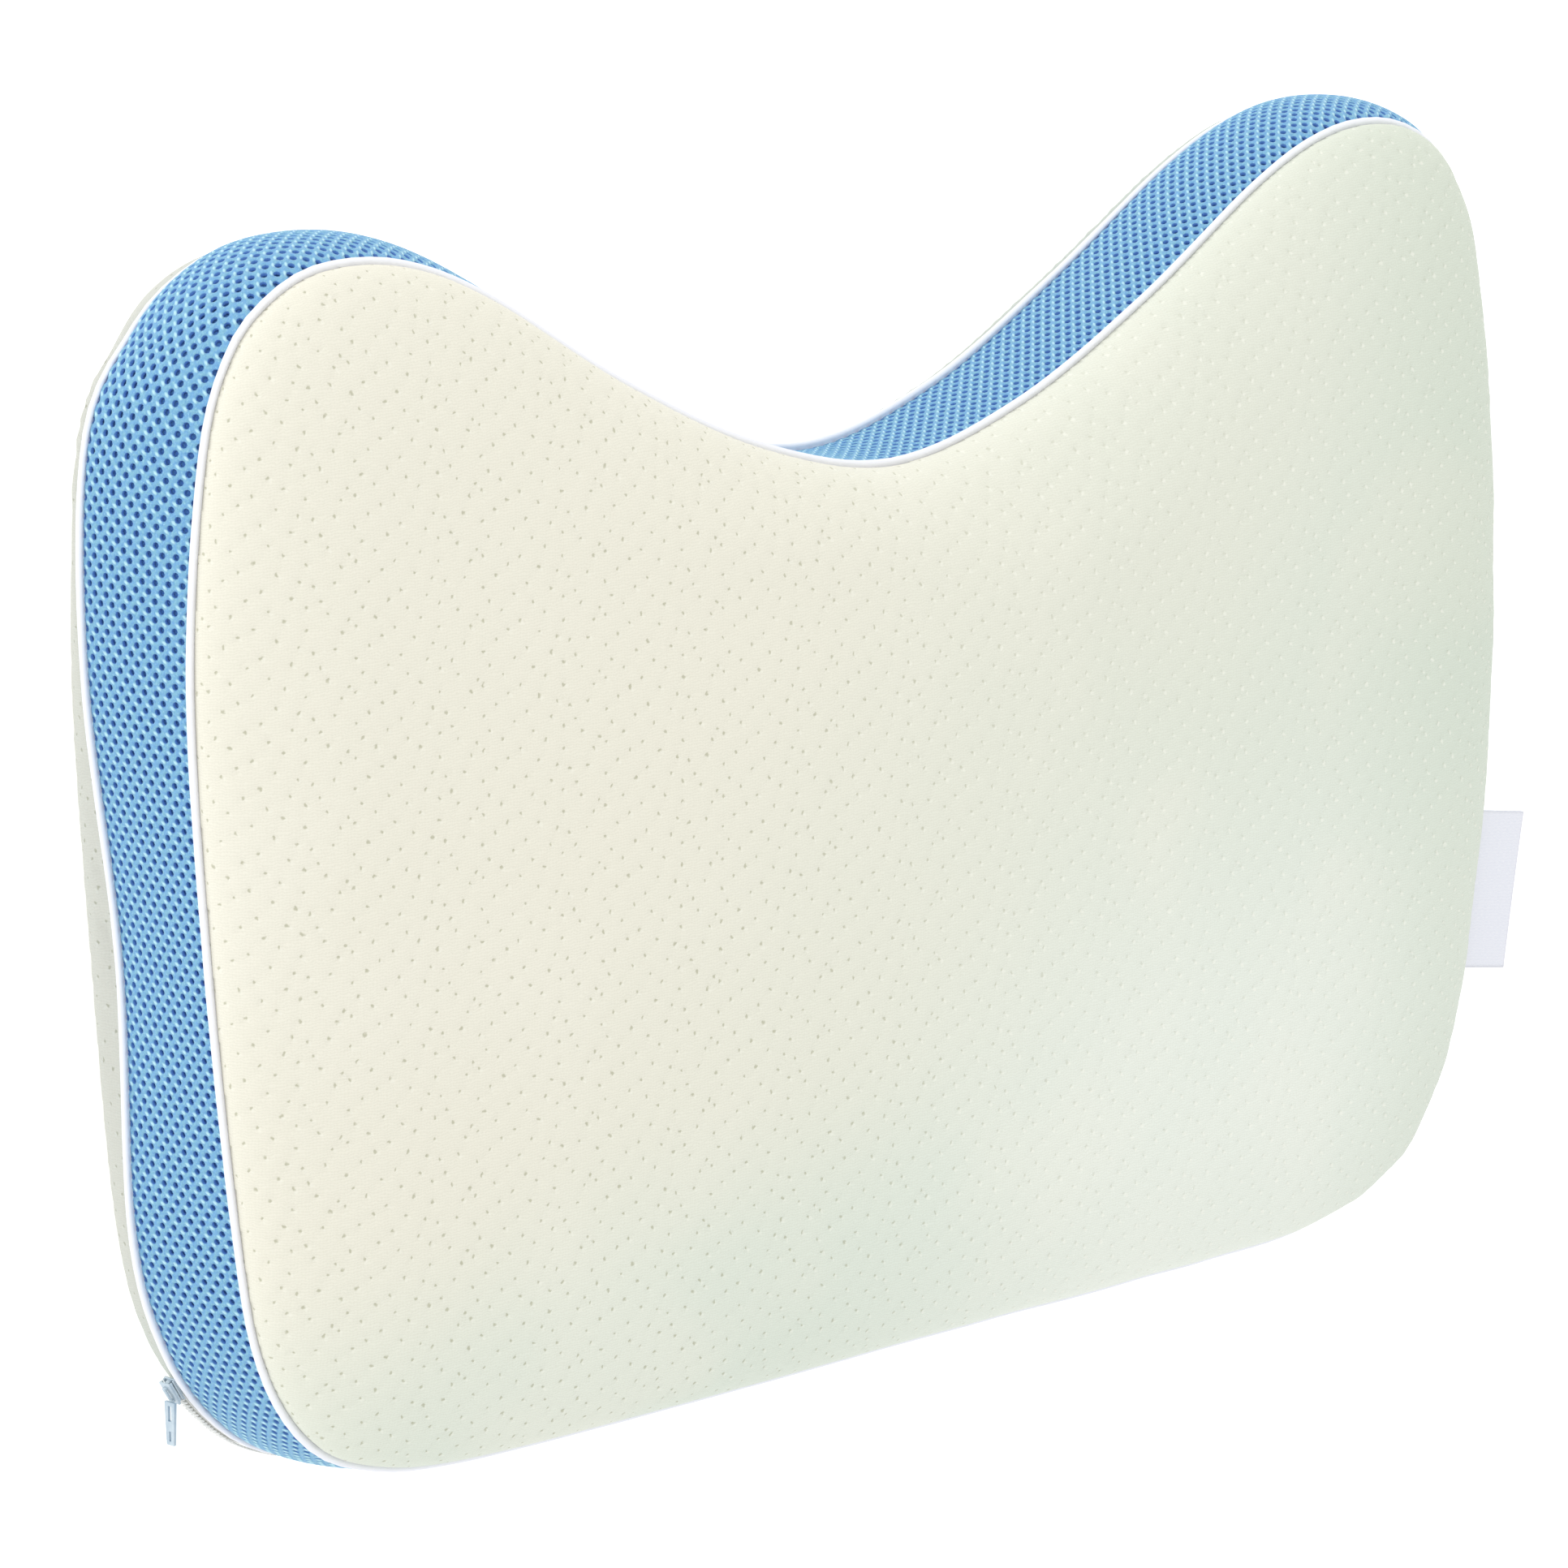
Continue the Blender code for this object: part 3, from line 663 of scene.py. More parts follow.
def yarn_finish(looks):
    """Outer layer of the spacer mesh: looped yarns, with a painted highlight on one side of each
    hole, painted glints on some strands and painted shade down the walls of the holes.
    """
    finish = Finish("spacer mesh yarn", 0.6, sheen=0.1, specular=0.3)
    cloth = finish.cloth()
    _count, half_along, row_gap = mesh_lattice(looks)
    half = (half_along / MM, row_gap / MM, 1.0)
    nearest = None
    for row in (0, 1):
        centre = (GLINT_ALONG + row * half[0], GLINT_ACROSS + (row - 0.5) * half[1], 0.0)
        away = finish.vector("SUBTRACT", cloth, centre)
        wrapped = finish.vector("WRAP", away, half, tuple(-x for x in half))
        leant = finish.add("ShaderNodeMapping", {"Vector": wrapped}, vector_type="TEXTURE")
        leant.inputs["Rotation"].default_value = (0.0, 0.0, math.radians(-50))
        leant.inputs["Scale"].default_value = (1.7, 0.9, 1.0)
        distance = finish.vector("LENGTH", leant.outputs[0])
        nearest = distance if nearest is None else finish.math("MINIMUM", nearest, distance)
    glint = finish.ramp(nearest, 0.15, 0.75, 1.0, 0.0)
    stretched = finish.vector("MULTIPLY", cloth, (1.0, 1.35, 1.0))
    loops = finish.add("ShaderNodeTexVoronoi", {"Vector": stretched, "Scale": 1.5},
                       feature="SMOOTH_F1")
    strand = finish.noise(stretched, 1.3, 3.0, 0.7)
    patch = finish.noise(cloth, 0.55, 2.0, 0.6)
    depth = finish.add("ShaderNodeAttribute", attribute_name="depth").outputs["Fac"]
    wall_shade = finish.ramp(depth, 0.19, 0.30)
    base = finish.mix(finish.ramp(patch, 0.35, 0.65), looks.yarn_colour, (0.22, 0.48, 0.65))
    base = finish.mix(finish.ramp(strand, 0.30, 0.46, 0.5, 0.0), base, (0.08, 0.27, 0.54))
    # Painted glints on the lighter yarn strands.
    base = finish.mix(finish.ramp(strand, 0.54, 0.72, 0.0, 0.6), base, looks.yarn_glint_colour)
    # Painted highlight on one side of each hole.
    base = finish.mix(finish.math("MULTIPLY", glint, 0.85), base, (0.56, 0.87, 0.94))
    # Painted shade: the walls of each hole take the inner layer's darker blue.
    base = finish.mix(wall_shade, base, looks.depth_colour)
    finish.paint(base)
    relief = finish.math("MULTIPLY_ADD", loops.outputs[0], -0.6, finish.math("MULTIPLY", strand, 0.9))
    relief = finish.math("MULTIPLY_ADD", glint, 0.5, relief)
    finish.bump(relief, 0.8, 0.4 * MM)
    return finish.material


def backing_finish(looks):
    """Inner layer of the spacer mesh, seen through the holes."""
    finish = Finish("spacer mesh inner layer", 0.8, specular=0.2)
    cloth = finish.cloth()
    strand = finish.noise(cloth, 1.6, 2.0, 0.6)
    base = finish.mix(finish.ramp(strand, 0.4, 0.75), looks.depth_colour, (0.15, 0.37, 0.72))
    finish.paint(base)
    finish.bump(strand, 0.8, 0.3 * MM)
    return finish.material


def piping_finish(looks):
    """White woven piping, its bias weave running round it."""
    finish = Finish("piping", 0.6, sheen=0.05, specular=0.2)
    cloth = finish.cloth()
    turned = finish.add("ShaderNodeMapping", {"Vector": cloth})
    turned.inputs["Rotation"].default_value = (0.0, 0.0, math.radians(45))
    parts = finish.add("ShaderNodeSeparateXYZ", {0: turned.outputs[0]})
    threads = [finish.wave(parts.outputs[k], 0.55) for k in (0, 1)]
    weave = finish.math("MULTIPLY_ADD", finish.math("MULTIPLY", *threads), 0.35, 0.5)
    soil = finish.noise(cloth, 0.12, 2.0)
    base = finish.mix(finish.ramp(soil, 0.3, 0.7, 0.0, 0.3), looks.piping_colour, (0.54, 0.58, 0.65))
    base = finish.mix(finish.ramp(weave, 0.2, 0.8, 0.12, 0.0), base, (0.40, 0.43, 0.52))
    finish.paint(base)
    finish.bump(weave, 0.6, 0.12 * MM)
    return finish.material


def coil_finish():
    """White nylon coil."""
    finish = Finish("zip coil", 0.35, specular=0.5)
    place = finish.object_place()
    grime = finish.noise(place, 400.0, 3.0)
    finish.paint(finish.mix(finish.ramp(grime, 0.35, 0.75), (0.80, 0.81, 0.79), (0.66, 0.68, 0.67)))
    finish.bump(grime, 0.3, 0.1 * MM)
    return finish.material


def tape_finish():
    """Woven zip tape, ribbed along its length."""
    finish = Finish("zip tape", 0.85, sheen=0.1, specular=0.2)
    cloth = finish.cloth()
    parts = finish.add("ShaderNodeSeparateXYZ", {0: cloth})
    rib = finish.wave(parts.outputs[1], 0.7)
    pick = finish.wave(parts.outputs[0], 0.45)
    weave = finish.math("MULTIPLY_ADD", finish.math("MULTIPLY", rib, pick), 0.4, 0.5)
    finish.paint(finish.mix(weave, (0.66, 0.67, 0.64), (0.84, 0.84, 0.80)))
    finish.bump(weave, 0.6, 0.15 * MM)
    return finish.material


def paint_finish(looks):
    """Painted zip metal, worn pale in specks, with paler patches at random."""
    finish = Finish("painted zip metal", 0.32, specular=0.5)
    finish.shader.inputs["Metallic"].default_value = 0.25
    place = finish.object_place()
    speck = finish.noise(place, 900.0, 3.0, 0.6)
    sweep = finish.noise(place, 160.0, 2.0)
    base = finish.mix(finish.ramp(sweep, 0.35, 0.7), looks.zip_colour, (0.55, 0.64, 0.70))
    base = finish.mix(finish.ramp(speck, 0.66, 0.76, 0.0, 0.5), base, (0.74, 0.78, 0.80))
    finish.paint(base)
    finish.bump(speck, 0.2, 0.05 * MM)
    return finish.material


def label_finish(looks):
    """White satin label, with fine picks across and long floats."""
    finish = Finish("label satin", 0.42, sheen=0.2, specular=0.4)
    cloth = finish.cloth()
    parts = finish.add("ShaderNodeSeparateXYZ", {0: cloth})
    pick = finish.wave(parts.outputs[0], 0.4)
    floats = finish.noise(finish.vector("MULTIPLY", cloth, (4.0, 0.5, 1.0)), 1.2, 2.0)
    weave = finish.math("MULTIPLY_ADD", pick, 0.2, floats)
    finish.paint(finish.mix(finish.ramp(weave, 0.2, 0.9), (0.74, 0.76, 0.84), looks.label_colour))
    finish.bump(weave, 0.35, 0.08 * MM)
    return finish.material


def crown(places):
    """Extra height, from 0 to 1, of the front's broad crown."""
    across = places[:, 0] / CROWN_HALF_LENGTH
    up = (places[:, 1] - CROWN_MIDDLE_UP) / CROWN_HALF_WIDTH
    return (1 - across**2) * (1 - up**2)


def panel_profile(form):
    """The panel's section from its hem: way along the cloth, distance in, start and share.

    The start is the height of the sewn edge, and the share that of the panel's rise.
    """
    edge = np.linspace(0.0, math.pi / 2, 9)[:-1]
    turn = np.linspace(0.0, math.pi / 2, 300)
    mean_rise = form.rise + form.crown / 2
    bulge = EDGE_BULGE * np.exp(-((turn / BULGE_FADE) ** 2))
    inwards = np.concatenate(
        [[SEAM_ALLOWANCE], -EDGE_BULGE * np.sin(edge), form.shoulder * (1 - np.cos(turn)) - bulge]
    )
    sewn = 2 * PANEL_CROWN - SEAM_HALF_GAP
    start = np.concatenate(
        [[SEAM_HALF_GAP], SEAM_HALF_GAP + sewn * (1 - np.cos(edge)), np.full(300, 2 * PANEL_CROWN)]
    )
    share = np.concatenate([np.zeros(len(edge) + 1), np.sin(turn)])
    heights = start + share * mean_rise
    steps = np.hypot(np.diff(inwards), np.diff(heights))
    way = np.concatenate([[0.0], np.cumsum(steps)]) - SEAM_ALLOWANCE
    return way, inwards, start, share


def swell_height(places, swells):
    """Height of the soft ridges and troughs at places of the face, in metres."""
    height = np.zeros(len(places))
    for swell in swells:
        angle = math.radians(swell.turn)
        away = places / MM - np.array((swell.across, swell.up))
        along = away @ np.array((math.cos(angle), math.sin(angle)))
        aside = away @ np.array((-math.sin(angle), math.cos(angle)))
        reach = (along / swell.half_length) ** 2 + (aside / swell.half_width) ** 2
        height += swell.height * MM * np.exp(-reach)
    return height


def dimple_field(flat):
    """Distance from each place on the flat cloth to the nearest dimple, in millimetres."""
    size, rows, tucks = jersey_repeat()
    nearest = np.full(len(flat), np.inf)
    square = flat / MM @ rows.T
    for tuck in tucks:
        away = square - tuck
        away -= np.round(away / size) * size
        nearest = np.minimum(nearest, np.linalg.norm(away, axis=1))
    return nearest


def flat_panel(form, seam, excess):
    """The panel's cut cloth, lying flat: a grid trimmed to its outline, and its hem."""
    size = np.ptp(seam.points, axis=0) + 2 * (excess + SEAM_ALLOWANCE)
    columns, rows = (int(x / form.pitch) for x in size)
    panel = add_grid(form.piece, columns, rows, (columns * form.pitch, rows * form.pitch))
    inset, _outward = seam.foot(positions(panel)[:, :2])
    way = inset + excess
    mesh = bmesh.new()
    mesh.from_mesh(panel.data)
    outside = [v for v, w in zip(mesh.verts, way, strict=True) if w < 0.4 * form.pitch]
    bmesh.ops.delete(mesh, geom=outside, context="VERTS")
    corners = [v for v in mesh.verts if len(v.link_faces) < 2]
    bmesh.ops.delete(mesh, geom=corners, context="VERTS")
    for hem in (0.0, SEAM_ALLOWANCE):
        rim = [e for e in mesh.edges if e.is_boundary]
        grown = bmesh.ops.extrude_edge_only(mesh, edges=rim)["geom"]
        fresh = [item for item in grown if isinstance(item, bmesh.types.BMVert)]
        places = np.array([v.co.xy for v in fresh])
        inset, outward = seam.foot(places)
        moved = places + outward * (inset + excess + hem)[:, None]
        for vert, place in zip(fresh, moved, strict=True):
            vert.co.xy = place
    mesh.to_mesh(panel.data)
    mesh.free()
    return panel


def make_panel(form, seam, swells, looks):
    """A face of the cover: flat cloth laid over the filled form, tucked in at its dimples."""
    way, inwards, start, share = panel_profile(form)
    excess = way[-1] - form.shoulder
    panel = flat_panel(form, seam, excess)
    flat = positions(panel)[:, :2]
    inset, outward = seam.foot(flat)
    cloth_way = inset + excess
    distance = np.interp(cloth_way, way, inwards)
    distance = np.where(cloth_way > way[-1], cloth_way - excess, distance)
    places = flat - outward * (distance - inset)[:, None]
    rise = form.rise + form.crown * crown(places)
    height = np.interp(cloth_way, way, start) + rise * np.interp(cloth_way, way, share)
    if form.sags:
        turn = np.clip(distance / SLUMP_WIDTH, 0.0, 1.0)
        slump = SLUMP[seam.nearest(places)] * np.sin(math.pi * turn**SLUMP_SKEW)
        places = places + outward * slump[:, None]
    points = np.column_stack([places, form.seam_height + form.side * height])
    set_flat_map(panel, flat)
    set_positions(panel, points)
    if form.side * normals(panel)[:, 2].mean() < 0:
        panel.data.flip_normals()
    near = dimple_field(flat)
    fade = np.clip((cloth_way - PLAIN_EDGE) / PLAIN_EDGE_FADE, 0.0, 1.0)
    depth = looks.dimple_depth * np.exp(-((near / TUCK_REACH) ** 2)) * fade
    lift = swell_height(places, swells) * fade
    set_positions(panel, points + normals(panel) * (lift - depth)[:, None])
    finish_with(panel, form.finish)
    tie(panel, form.node)
    face = np.ptp(seam.points, axis=0).prod() * 0.9


def band_places(flat, proud):
    """Points of the band from the way along it, the share across it and how proud they lie."""
    share = np.clip(flat[:, 1], 0.0, 1.0)
    points, outward = FRONT_SEAM.at(flat[:, 0])
    flare, crown = (FRONT_SEAM.read(flat[:, 0], values) for values in (FLARE, CROWN))

    def offset_at(part):
        return flare * (1 - part) + crown * np.sin(math.pi * part) ** BAND_FULLNESS

    low, high = np.clip(share - BAND_SLOPE_STEP, 0, 1), np.clip(share + BAND_SLOPE_STEP, 0, 1)
    run_out = offset_at(high) - offset_at(low)
    run_up = BAND_DEPTH * (high - low)
    length = np.hypot(run_out, run_up)
    out = offset_at(share) + proud * run_up / length
    up = REAR_SEAM_HEIGHT + BAND_DEPTH * share - proud * run_out / length
    return np.column_stack([points + outward * out[:, None], up])


def mesh_cell(hole, half_along, row_gap):
    """One hole of the mesh with the yarn round it, in the middle of a diamond of cloth."""
    cell = add_primitive(
        bpy.ops.mesh.primitive_circle_add, vertices=8, radius=hole / 2, location=(0, 0, -MESH_LIP)
    )
    apply_place(cell)
    bpy.ops.object.mode_set(mode="EDIT")
    bpy.ops.mesh.select_all(action="SELECT")
    bpy.ops.mesh.extrude_region_move(TRANSFORM_OT_translate={"value": (0, 0, MESH_LIP)})
    mesh = bmesh.from_edit_mesh(cell.data)
    for vert in mesh.verts:
        if vert.co.z > -MESH_LIP / 2:
            angle = math.atan2(vert.co.y, vert.co.x)
            reach = 1 / (abs(math.cos(angle)) + abs(math.sin(angle)))
            vert.co.x = math.cos(angle) * reach * half_along
            vert.co.y = math.sin(angle) * reach * row_gap
            vert.select = False
        else:
            vert.select = True
    mesh.select_flush_mode()
    bmesh.update_edit_mesh(cell.data)
    bpy.ops.mesh.extrude_region_move(TRANSFORM_OT_translate={"value": (0, 0, -MESH_WALL)})
    bpy.ops.transform.resize(value=(0.9, 0.9, 1.0))
    bpy.ops.object.mode_set(mode="OBJECT")
    return cell


def add_array(piece, count, offset):
    """Repeat a piece at equal steps."""
    array = piece.modifiers.new("repeat", "ARRAY")
    array.count = count
    array.use_relative_offset = False
    array.use_constant_offset = True
    array.constant_offset_displace = offset


def make_band(looks):
    """Spacer mesh round the side: an outer layer of round holes over an inner layer."""
    count, half_along, row_gap = mesh_lattice(looks)
    outer = mesh_cell(looks.hole_size, half_along, row_gap)
    outer.location = (0, -row_gap / 2, 0)
    apply_place(outer)
    add_array(outer, 2, (half_along, row_gap, 0))
    add_array(outer, BAND_ROWS // 2 + 1, (0, 2 * row_gap, 0))
    add_array(outer, count, (2 * half_along, 0, 0))
    apply_modifiers(outer)
    edit(outer, bpy.ops.mesh.remove_doubles, threshold=MERGE_DISTANCE)
    for across in (0.0, BAND_DEPTH):
        edit(
            outer, bpy.ops.mesh.bisect, plane_co=(0, across, 0), plane_no=(0, 1, 0),
            clear_inner=across == 0, clear_outer=across > 0, threshold=1e-6,
        )
    inner = add_grid(
        "inner layer", count // 2, BAND_ROWS, (FRONT_SEAM.length, BAND_DEPTH),
        (FRONT_SEAM.length / 2, BAND_DEPTH / 2, -MESH_LAYER_GAP),
    )
    for piece in (outer, inner):
        flat = positions(piece)
        set_flat_map(piece, flat)
        depth = -flat[:, 2] / (MESH_LIP + MESH_WALL)
        made = piece.data.attributes.new("depth", "FLOAT", "POINT")
        made.data.foreach_set("value", depth.astype(np.float32))
        set_positions(piece, band_places(flat / (1, BAND_DEPTH, 1), flat[:, 2]))
    for piece in (outer, inner):
        edit(piece, bpy.ops.mesh.remove_doubles, threshold=MERGE_DISTANCE)
        if (normals(piece)[:, :2] * positions(piece)[:, :2]).sum() < 0:
            piece.data.flip_normals()
    band = join_layers("spacer_band", {"spacer mesh yarn": outer, "spacer mesh inner layer": inner})
    tie(band, "side_band")


def make_piping(name, node, seam, height):
    """Round piping with its flange caught in the seam."""
    piping = add_primitive(
        bpy.ops.mesh.primitive_torus_add, major_segments=960, minor_segments=14,
        major_radius=1.0, minor_radius=0.25,
    )
    piping.name = piping.data.name = name
    ring = positions(piping)
    way = np.mod(-np.arctan2(ring[:, 1], ring[:, 0]), 2 * math.pi) / (2 * math.pi) * seam.length
    around = np.arctan2(ring[:, 2], np.hypot(ring[:, 0], ring[:, 1]) - 1.0)
    points, outward = seam.at(way)
    wobble = 1 + 0.05 * np.sin(way / (7.3 * MM)) * np.sin(way / (19 * MM))
    radius = PIPING_RADIUS * wobble
    flange = np.clip(-np.cos(around) - 0.8, 0.0, 0.2) / 0.2
    out = PIPING_STAND_OFF + radius * np.cos(around) - flange * 2.2 * MM
    up = height + radius * np.sin(around) * (1 - 0.6 * flange)
    set_flat_map(piping, np.column_stack([way, around * PIPING_RADIUS]))
    set_positions(piping, np.column_stack([points + outward * out[:, None], up]))
    centre = np.column_stack([points + outward * PIPING_STAND_OFF, np.full(len(up), height)])
    if (normals(piping) * (positions(piping) - centre)).sum() < 0:
        piping.data.flip_normals()
    finish_with(piping, "piping")
    tie(piping, node)


def zip_ends():
    """Ways round the seam to the chain's right and left ends."""
    ways = np.linspace(0, FRONT_SEAM.length, SEAM_READINGS)
    points, _outward = FRONT_SEAM.at(ways)
    bottom = (points[:, 1] < 0) & (np.abs(points[:, 0]) <= ZIP_HALF_LENGTH)
    return ways[bottom][0], ways[bottom][-1]


def make_zip_chain():
    """Closed coil zip on its tape, along the bottom of the rear seam."""
    first, last = zip_ends()
    length = last - first
    centre_height = REAR_SEAM_HEIGHT - ZIP_BELOW_SEAM
    pitch = 1.5 * MM
    tooth = add_primitive(
        bpy.ops.mesh.primitive_cylinder_add, vertices=6, radius=0.42 * MM, depth=2.5 * MM
    )
    tooth.rotation_euler.x = math.radians(90)
    apply_place(tooth)
    bevel = tooth.modifiers.new("round", "BEVEL")
    bevel.width = 0.15 * MM
    bevel.segments = 1
    bevel.limit_method = "ANGLE"
    bevel.angle_limit = math.radians(50)
    tooth.location = (0, 0.7 * MM, 0.25 * MM)
    apply_place(tooth)
    add_array(tooth, 2, (pitch / 2, -1.4 * MM, 0))
    add_array(tooth, int(length / pitch), (pitch, 0, 0))
    apply_modifiers(tooth)
    tape = add_grid("zip tape", 260, 8, (length, 4.4 * MM), (length / 2, 0, -0.45 * MM))
    solid = tape.modifiers.new("thickness", "SOLIDIFY")
    solid.thickness = 0.4 * MM
    apply_modifiers(tape)
    for piece in (tooth, tape):
        flat = positions(piece)
        set_flat_map(piece, flat)
        points, outward = FRONT_SEAM.at(first + flat[:, 0])
        flare = FRONT_SEAM.read(first + flat[:, 0], FLARE)
        out = points + outward * (flare + ZIP_STAND_OFF + flat[:, 2])[:, None]
        set_positions(piece, np.column_stack([out, centre_height + flat[:, 1]]))
        edit(piece, bpy.ops.mesh.normals_make_consistent, inside=False)
    chain = join_layers("zip_coil_chain", {"zip coil": tooth, "zip tape": tape})
    tie(chain, "zip_chain")


def block(low, high, bevel_width):
    """A rounded block between two corners, in millimetres."""
    low, high = np.array(low) * MM, np.array(high) * MM
    made = add_primitive(bpy.ops.mesh.primitive_cube_add, size=1.0, location=(low + high) / 2)
    made.scale = high - low
    apply_place(made)
    bevel = made.modifiers.new("soft edges", "BEVEL")
    bevel.width = bevel_width * MM
    bevel.segments = 3
    apply_modifiers(made)
    return made


def make_slider():
    """Zip slider: two flanged plates on a post, and the bridge that carries the pull."""
    plates = [block((-4.5, y, -2.5), (4.5, y + 0.8, 2.5), 0.3) for y in (-1.6, 0.8)]
    flanges = [
        block((-3.6, y, z), (4.3, y + 0.75, z + 0.55), 0.2)
        for y in (-0.9, 0.15) for z in (-2.5, 1.95)
    ]
    post = block((1.6, -1.0, -0.9), (4.0, 1.0, 0.9), 0.2)
    legs = [block((x, 1.4, -0.7), (x + 1.0, 2.6, 0.7), 0.25) for x in (-3.2, 2.2)]
    bar = block((-3.2, 2.1, -0.7), (3.2, 2.8, 0.7), 0.3)
    slider = join("slider", [*plates, *flanges, post, *legs, bar])
    body = positions(slider)
    narrow = 1 - 0.22 * np.clip(-body[:, 0] / (4.5 * MM), 0.0, 1.0)
    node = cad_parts["zip_slider"]
    corners = np.array([node.matrix_world @ Vector(corner) for corner in node.bound_box])
    _first, last = zip_ends()
    _points, outward = FRONT_SEAM.at(np.array([last]))
    out = np.array((*outward[0], 0.0))
    along = np.cross(out, (0.0, 0.0, 1.0))
    middle = (corners.min(axis=0) + corners.max(axis=0)) / 2 - out * SLIDER_BRIDGE_RISE / 2
    turned = body[:, :1] * along + body[:, 1:2] * out
    turned[:, 2] = body[:, 2] * narrow
    set_positions(slider, middle + turned)
    finish_with(slider, "painted zip metal")
    tie(slider, "zip_slider")


def make_label():
    """Blank woven tab, folded over, in the front seam of the right side."""
    ways = np.linspace(0, FRONT_SEAM.length / 2, SEAM_READINGS)
    points, outward = FRONT_SEAM.at(ways)
    index = int(np.argmin(np.abs(points[:, 1] - LABEL_UP) + (points[:, 0] < 0.2)))
    root, out = points[index], outward[index]
    half = LABEL_FOLD_GAP / 2 + LABEL_LAYER / 2
    straight = LABEL_REACH - half
    fold = math.pi * half
    total = 2 * straight + fold
    label = add_grid("folded_label", 40, 36, (total, LABEL_LENGTH))
    flat = positions(label)
    way = flat[:, 0] + total / 2
    turn = np.clip((way - straight) / half, 0, math.pi)
    lift = np.sin(np.pi * np.clip(flat[:, 1] / LABEL_LENGTH + 0.5, 0, 1))
    reach = np.where(way < straight, way, np.where(way < straight + fold,
                     straight + half * np.sin(turn), total - way))
    height = half * np.cos(turn) * (1 + 0.25 * (1 - lift))
    height += 0.5 * MM * np.sin(reach / LABEL_REACH * 2.2) * (flat[:, 1] / LABEL_LENGTH)
    set_flat_map(label, np.column_stack([flat[:, 1], way]))
    base = root + out * LABEL_CLEARANCE
    side = np.array((-out[1], out[0]))
    places = base + out * reach[:, None] + side * flat[:, 1:2]
    level = FRONT_SEAM_HEIGHT + LABEL_ABOVE_SEAM + LABEL_FOLD_GAP / 2
    set_positions(label, np.column_stack([places, level + height]))
    if normals(label)[way < straight / 2, 2].mean() < 0:
        label.data.flip_normals()
    solid = label.modifiers.new("thickness", "SOLIDIFY")
    solid.thickness = LABEL_LAYER * 0.8
    solid.offset = 0
    apply_modifiers(label)
    finish_with(label, "label satin")
    tie(label, "side_label")


def make_camera():
    camera = bpy.data.objects.new("camera", bpy.data.cameras.new("camera"))
    bpy.context.scene.collection.objects.link(camera)
    right, up = Vector(CAMERA_RIGHT).normalized(), Vector(CAMERA_UP).normalized()
    turned = Matrix((right, up, right.cross(up))).transposed().to_4x4()
    camera.matrix_world = Matrix.Translation(CAMERA_PLACE) @ turned
    camera.data.lens = CAMERA_LENS
    camera.data.sensor_width = 36.0
    camera.data.clip_end = 50.0
    bpy.context.scene.camera = camera


def make_stage(looks):
    """Pale floor, even light all round and one large soft lamp."""
    floor = add_primitive(bpy.ops.mesh.primitive_plane_add, size=30.0, location=(0, 0, -0.3 * MM))
    floor.name = "floor"
    finish = Finish("pale floor", 0.9, specular=0.1)
    grain = finish.noise(finish.object_place(), 3.0, 2.0)
    finish.paint(finish.mix(grain, (0.97, 0.97, 0.97), (0.99, 0.99, 0.99)))
    finish.shader.inputs["Emission Color"].default_value = (1.0, 1.0, 1.0, 1.0)
    finish.shader.inputs["Emission Strength"].default_value = looks.floor_glow
    floor.data.materials.append(finish.material)
    world = bpy.data.worlds.new("studio")
    world.use_nodes = True
    sky = world.node_tree.nodes["Background"].inputs
    sky["Color"].default_value = (1.0, 1.0, 1.0, 1.0)
    sky["Strength"].default_value = looks.daylight
    bpy.context.scene.world = world
    lamp = bpy.data.lights.new("large soft lamp", "AREA")
    lamp.energy = looks.key_light
    lamp.size = 2.0
    key = bpy.data.objects.new("large soft lamp", lamp)
    key.location = LAMP_PLACE
    key.rotation_euler = Vector(LAMP_PLACE).to_track_quat("Z", "Y").to_euler()
    bpy.context.scene.collection.objects.link(key)
    bpy.context.scene.view_settings.view_transform = "Standard"
    make_camera()


class PILLOW_OT_fabrics(bpy.types.Operator):
    """Mix the finishes of the cover, the zip and the label"""

    bl_idname = "pillow.fabrics"
    bl_label = "Fabrics"

    def execute(self, context):
        looks = context.scene.pillow_looks
        jersey_finish(looks, FRONT.finish, (1.0, 1.0, 1.0))
        # The back panel's jersey, darkened and greyed by a painted shade.
        jersey_finish(looks, BACK.finish, (0.72, 0.75, 0.79))
        for finish in (yarn_finish, backing_finish, piping_finish, paint_finish, label_finish):
            finish(looks)
        coil_finish()
        tape_finish()
        return {"FINISHED"}


class PILLOW_OT_panels(bpy.types.Operator):
    """Lay the padded jersey over the front and the back"""

    bl_idname = "pillow.panels"
    bl_label = "Front and back panels"

    def execute(self, context):
        looks = context.scene.pillow_looks
        make_panel(FRONT, FRONT_SEAM, FRONT_SWELLS, looks)
        make_panel(BACK, REAR_SEAM, (), looks)
        return {"FINISHED"}


class PILLOW_OT_band(bpy.types.Operator):
    """Wrap the spacer mesh round the side"""

    bl_idname = "pillow.band"
    bl_label = "Spacer mesh band"

    def execute(self, context):
        make_band(context.scene.pillow_looks)
        return {"FINISHED"}


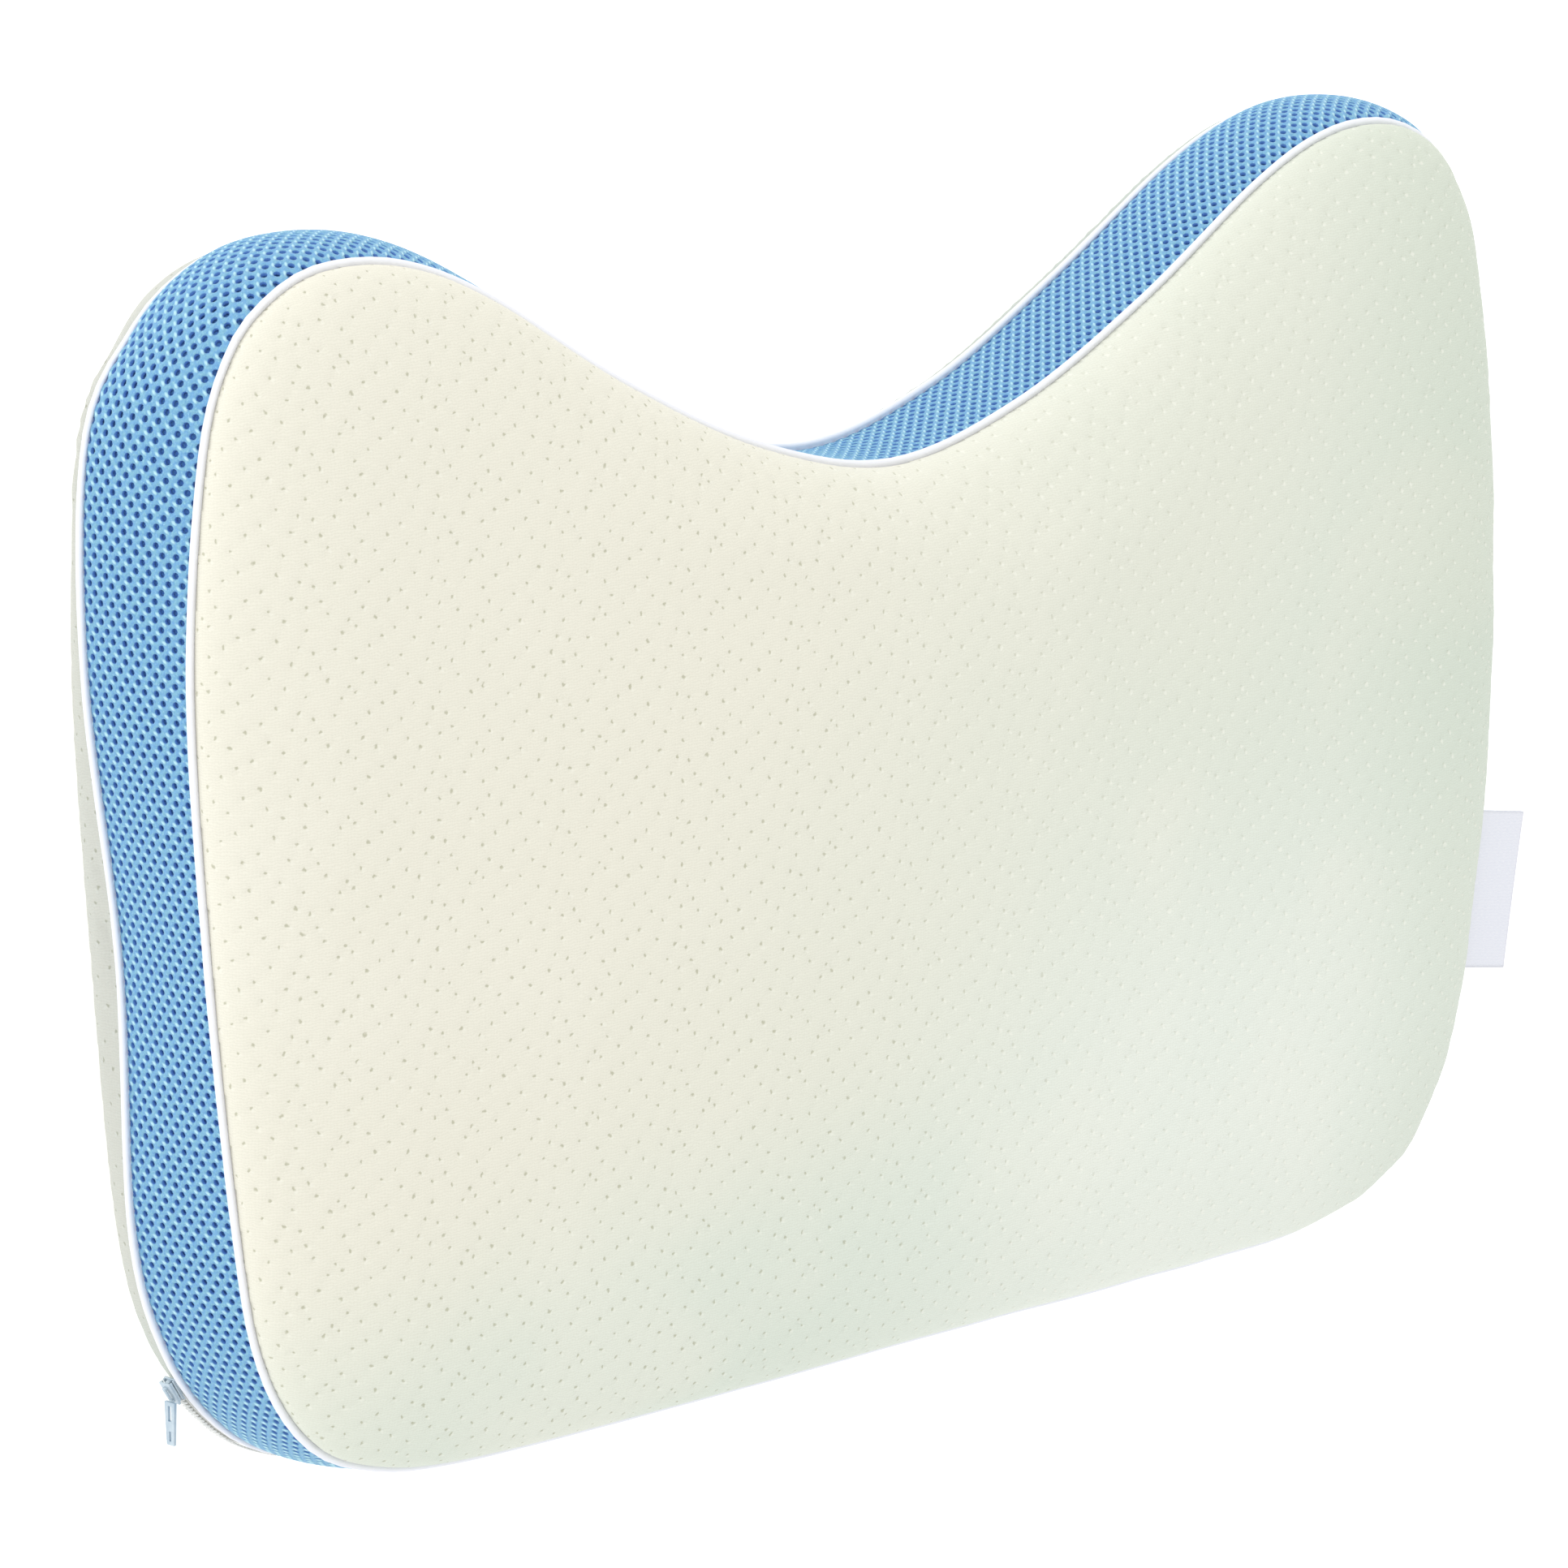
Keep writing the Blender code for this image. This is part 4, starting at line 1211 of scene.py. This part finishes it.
class PILLOW_OT_pipings(bpy.types.Operator):
    """Sew the piping into both seams"""

    bl_idname = "pillow.pipings"
    bl_label = "Pipings"

    def execute(self, context):
        make_piping("front_piping", "piping_front", FRONT_SEAM, FRONT_SEAM_HEIGHT)
        make_piping("rear_piping", "piping_rear", REAR_SEAM, REAR_SEAM_HEIGHT)
        return {"FINISHED"}


class PILLOW_OT_zip(bpy.types.Operator):
    """Put in the zip with its slider and pull"""

    bl_idname = "pillow.zip"
    bl_label = "Zip"

    def execute(self, context):
        make_zip_chain()
        make_slider()
        finish_with(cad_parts["zip_pull"], "painted zip metal")
        return {"FINISHED"}


class PILLOW_OT_label(bpy.types.Operator):
    """Fold the blank label and sew it into the side"""

    bl_idname = "pillow.label"
    bl_label = "Label"

    def execute(self, context):
        make_label()
        return {"FINISHED"}


class PILLOW_OT_stage(bpy.types.Operator):
    """Set out the pale floor, the soft light and the camera"""

    bl_idname = "pillow.stage"
    bl_label = "Stage"

    def execute(self, context):
        make_stage(context.scene.pillow_looks)
        return {"FINISHED"}


class PILLOW_PT_panel(bpy.types.Panel):
    """Steps and settings of the pillow"""

    bl_idname = "PILLOW_PT_panel"
    bl_label = "Pillow"
    bl_space_type = "VIEW_3D"
    bl_region_type = "UI"
    bl_category = "Pillow"

    def draw(self, context):
        looks = context.scene.pillow_looks
        for name in PillowLooks.__annotations__:
            self.layout.prop(looks, name)
        for step in OPERATORS:
            self.layout.operator(step.bl_idname)


OPERATORS = (
    PILLOW_OT_fabrics,
    PILLOW_OT_panels,
    PILLOW_OT_band,
    PILLOW_OT_pipings,
    PILLOW_OT_zip,
    PILLOW_OT_label,
    PILLOW_OT_stage,
)
CLASSES = (PillowLooks, *OPERATORS, PILLOW_PT_panel)


def register():
    for cls in CLASSES:
        bpy.utils.register_class(cls)
    bpy.types.Scene.pillow_looks = bpy.props.PointerProperty(type=PillowLooks)


def unregister():
    del bpy.types.Scene.pillow_looks
    for cls in reversed(CLASSES):
        bpy.utils.unregister_class(cls)


def main():
    register()
    bpy.ops.pillow.fabrics()
    bpy.ops.pillow.panels()
    bpy.ops.pillow.band()
    bpy.ops.pillow.pipings()
    bpy.ops.pillow.zip()
    bpy.ops.pillow.label()
    bpy.ops.pillow.stage()


if __name__ == "__main__":
    main()
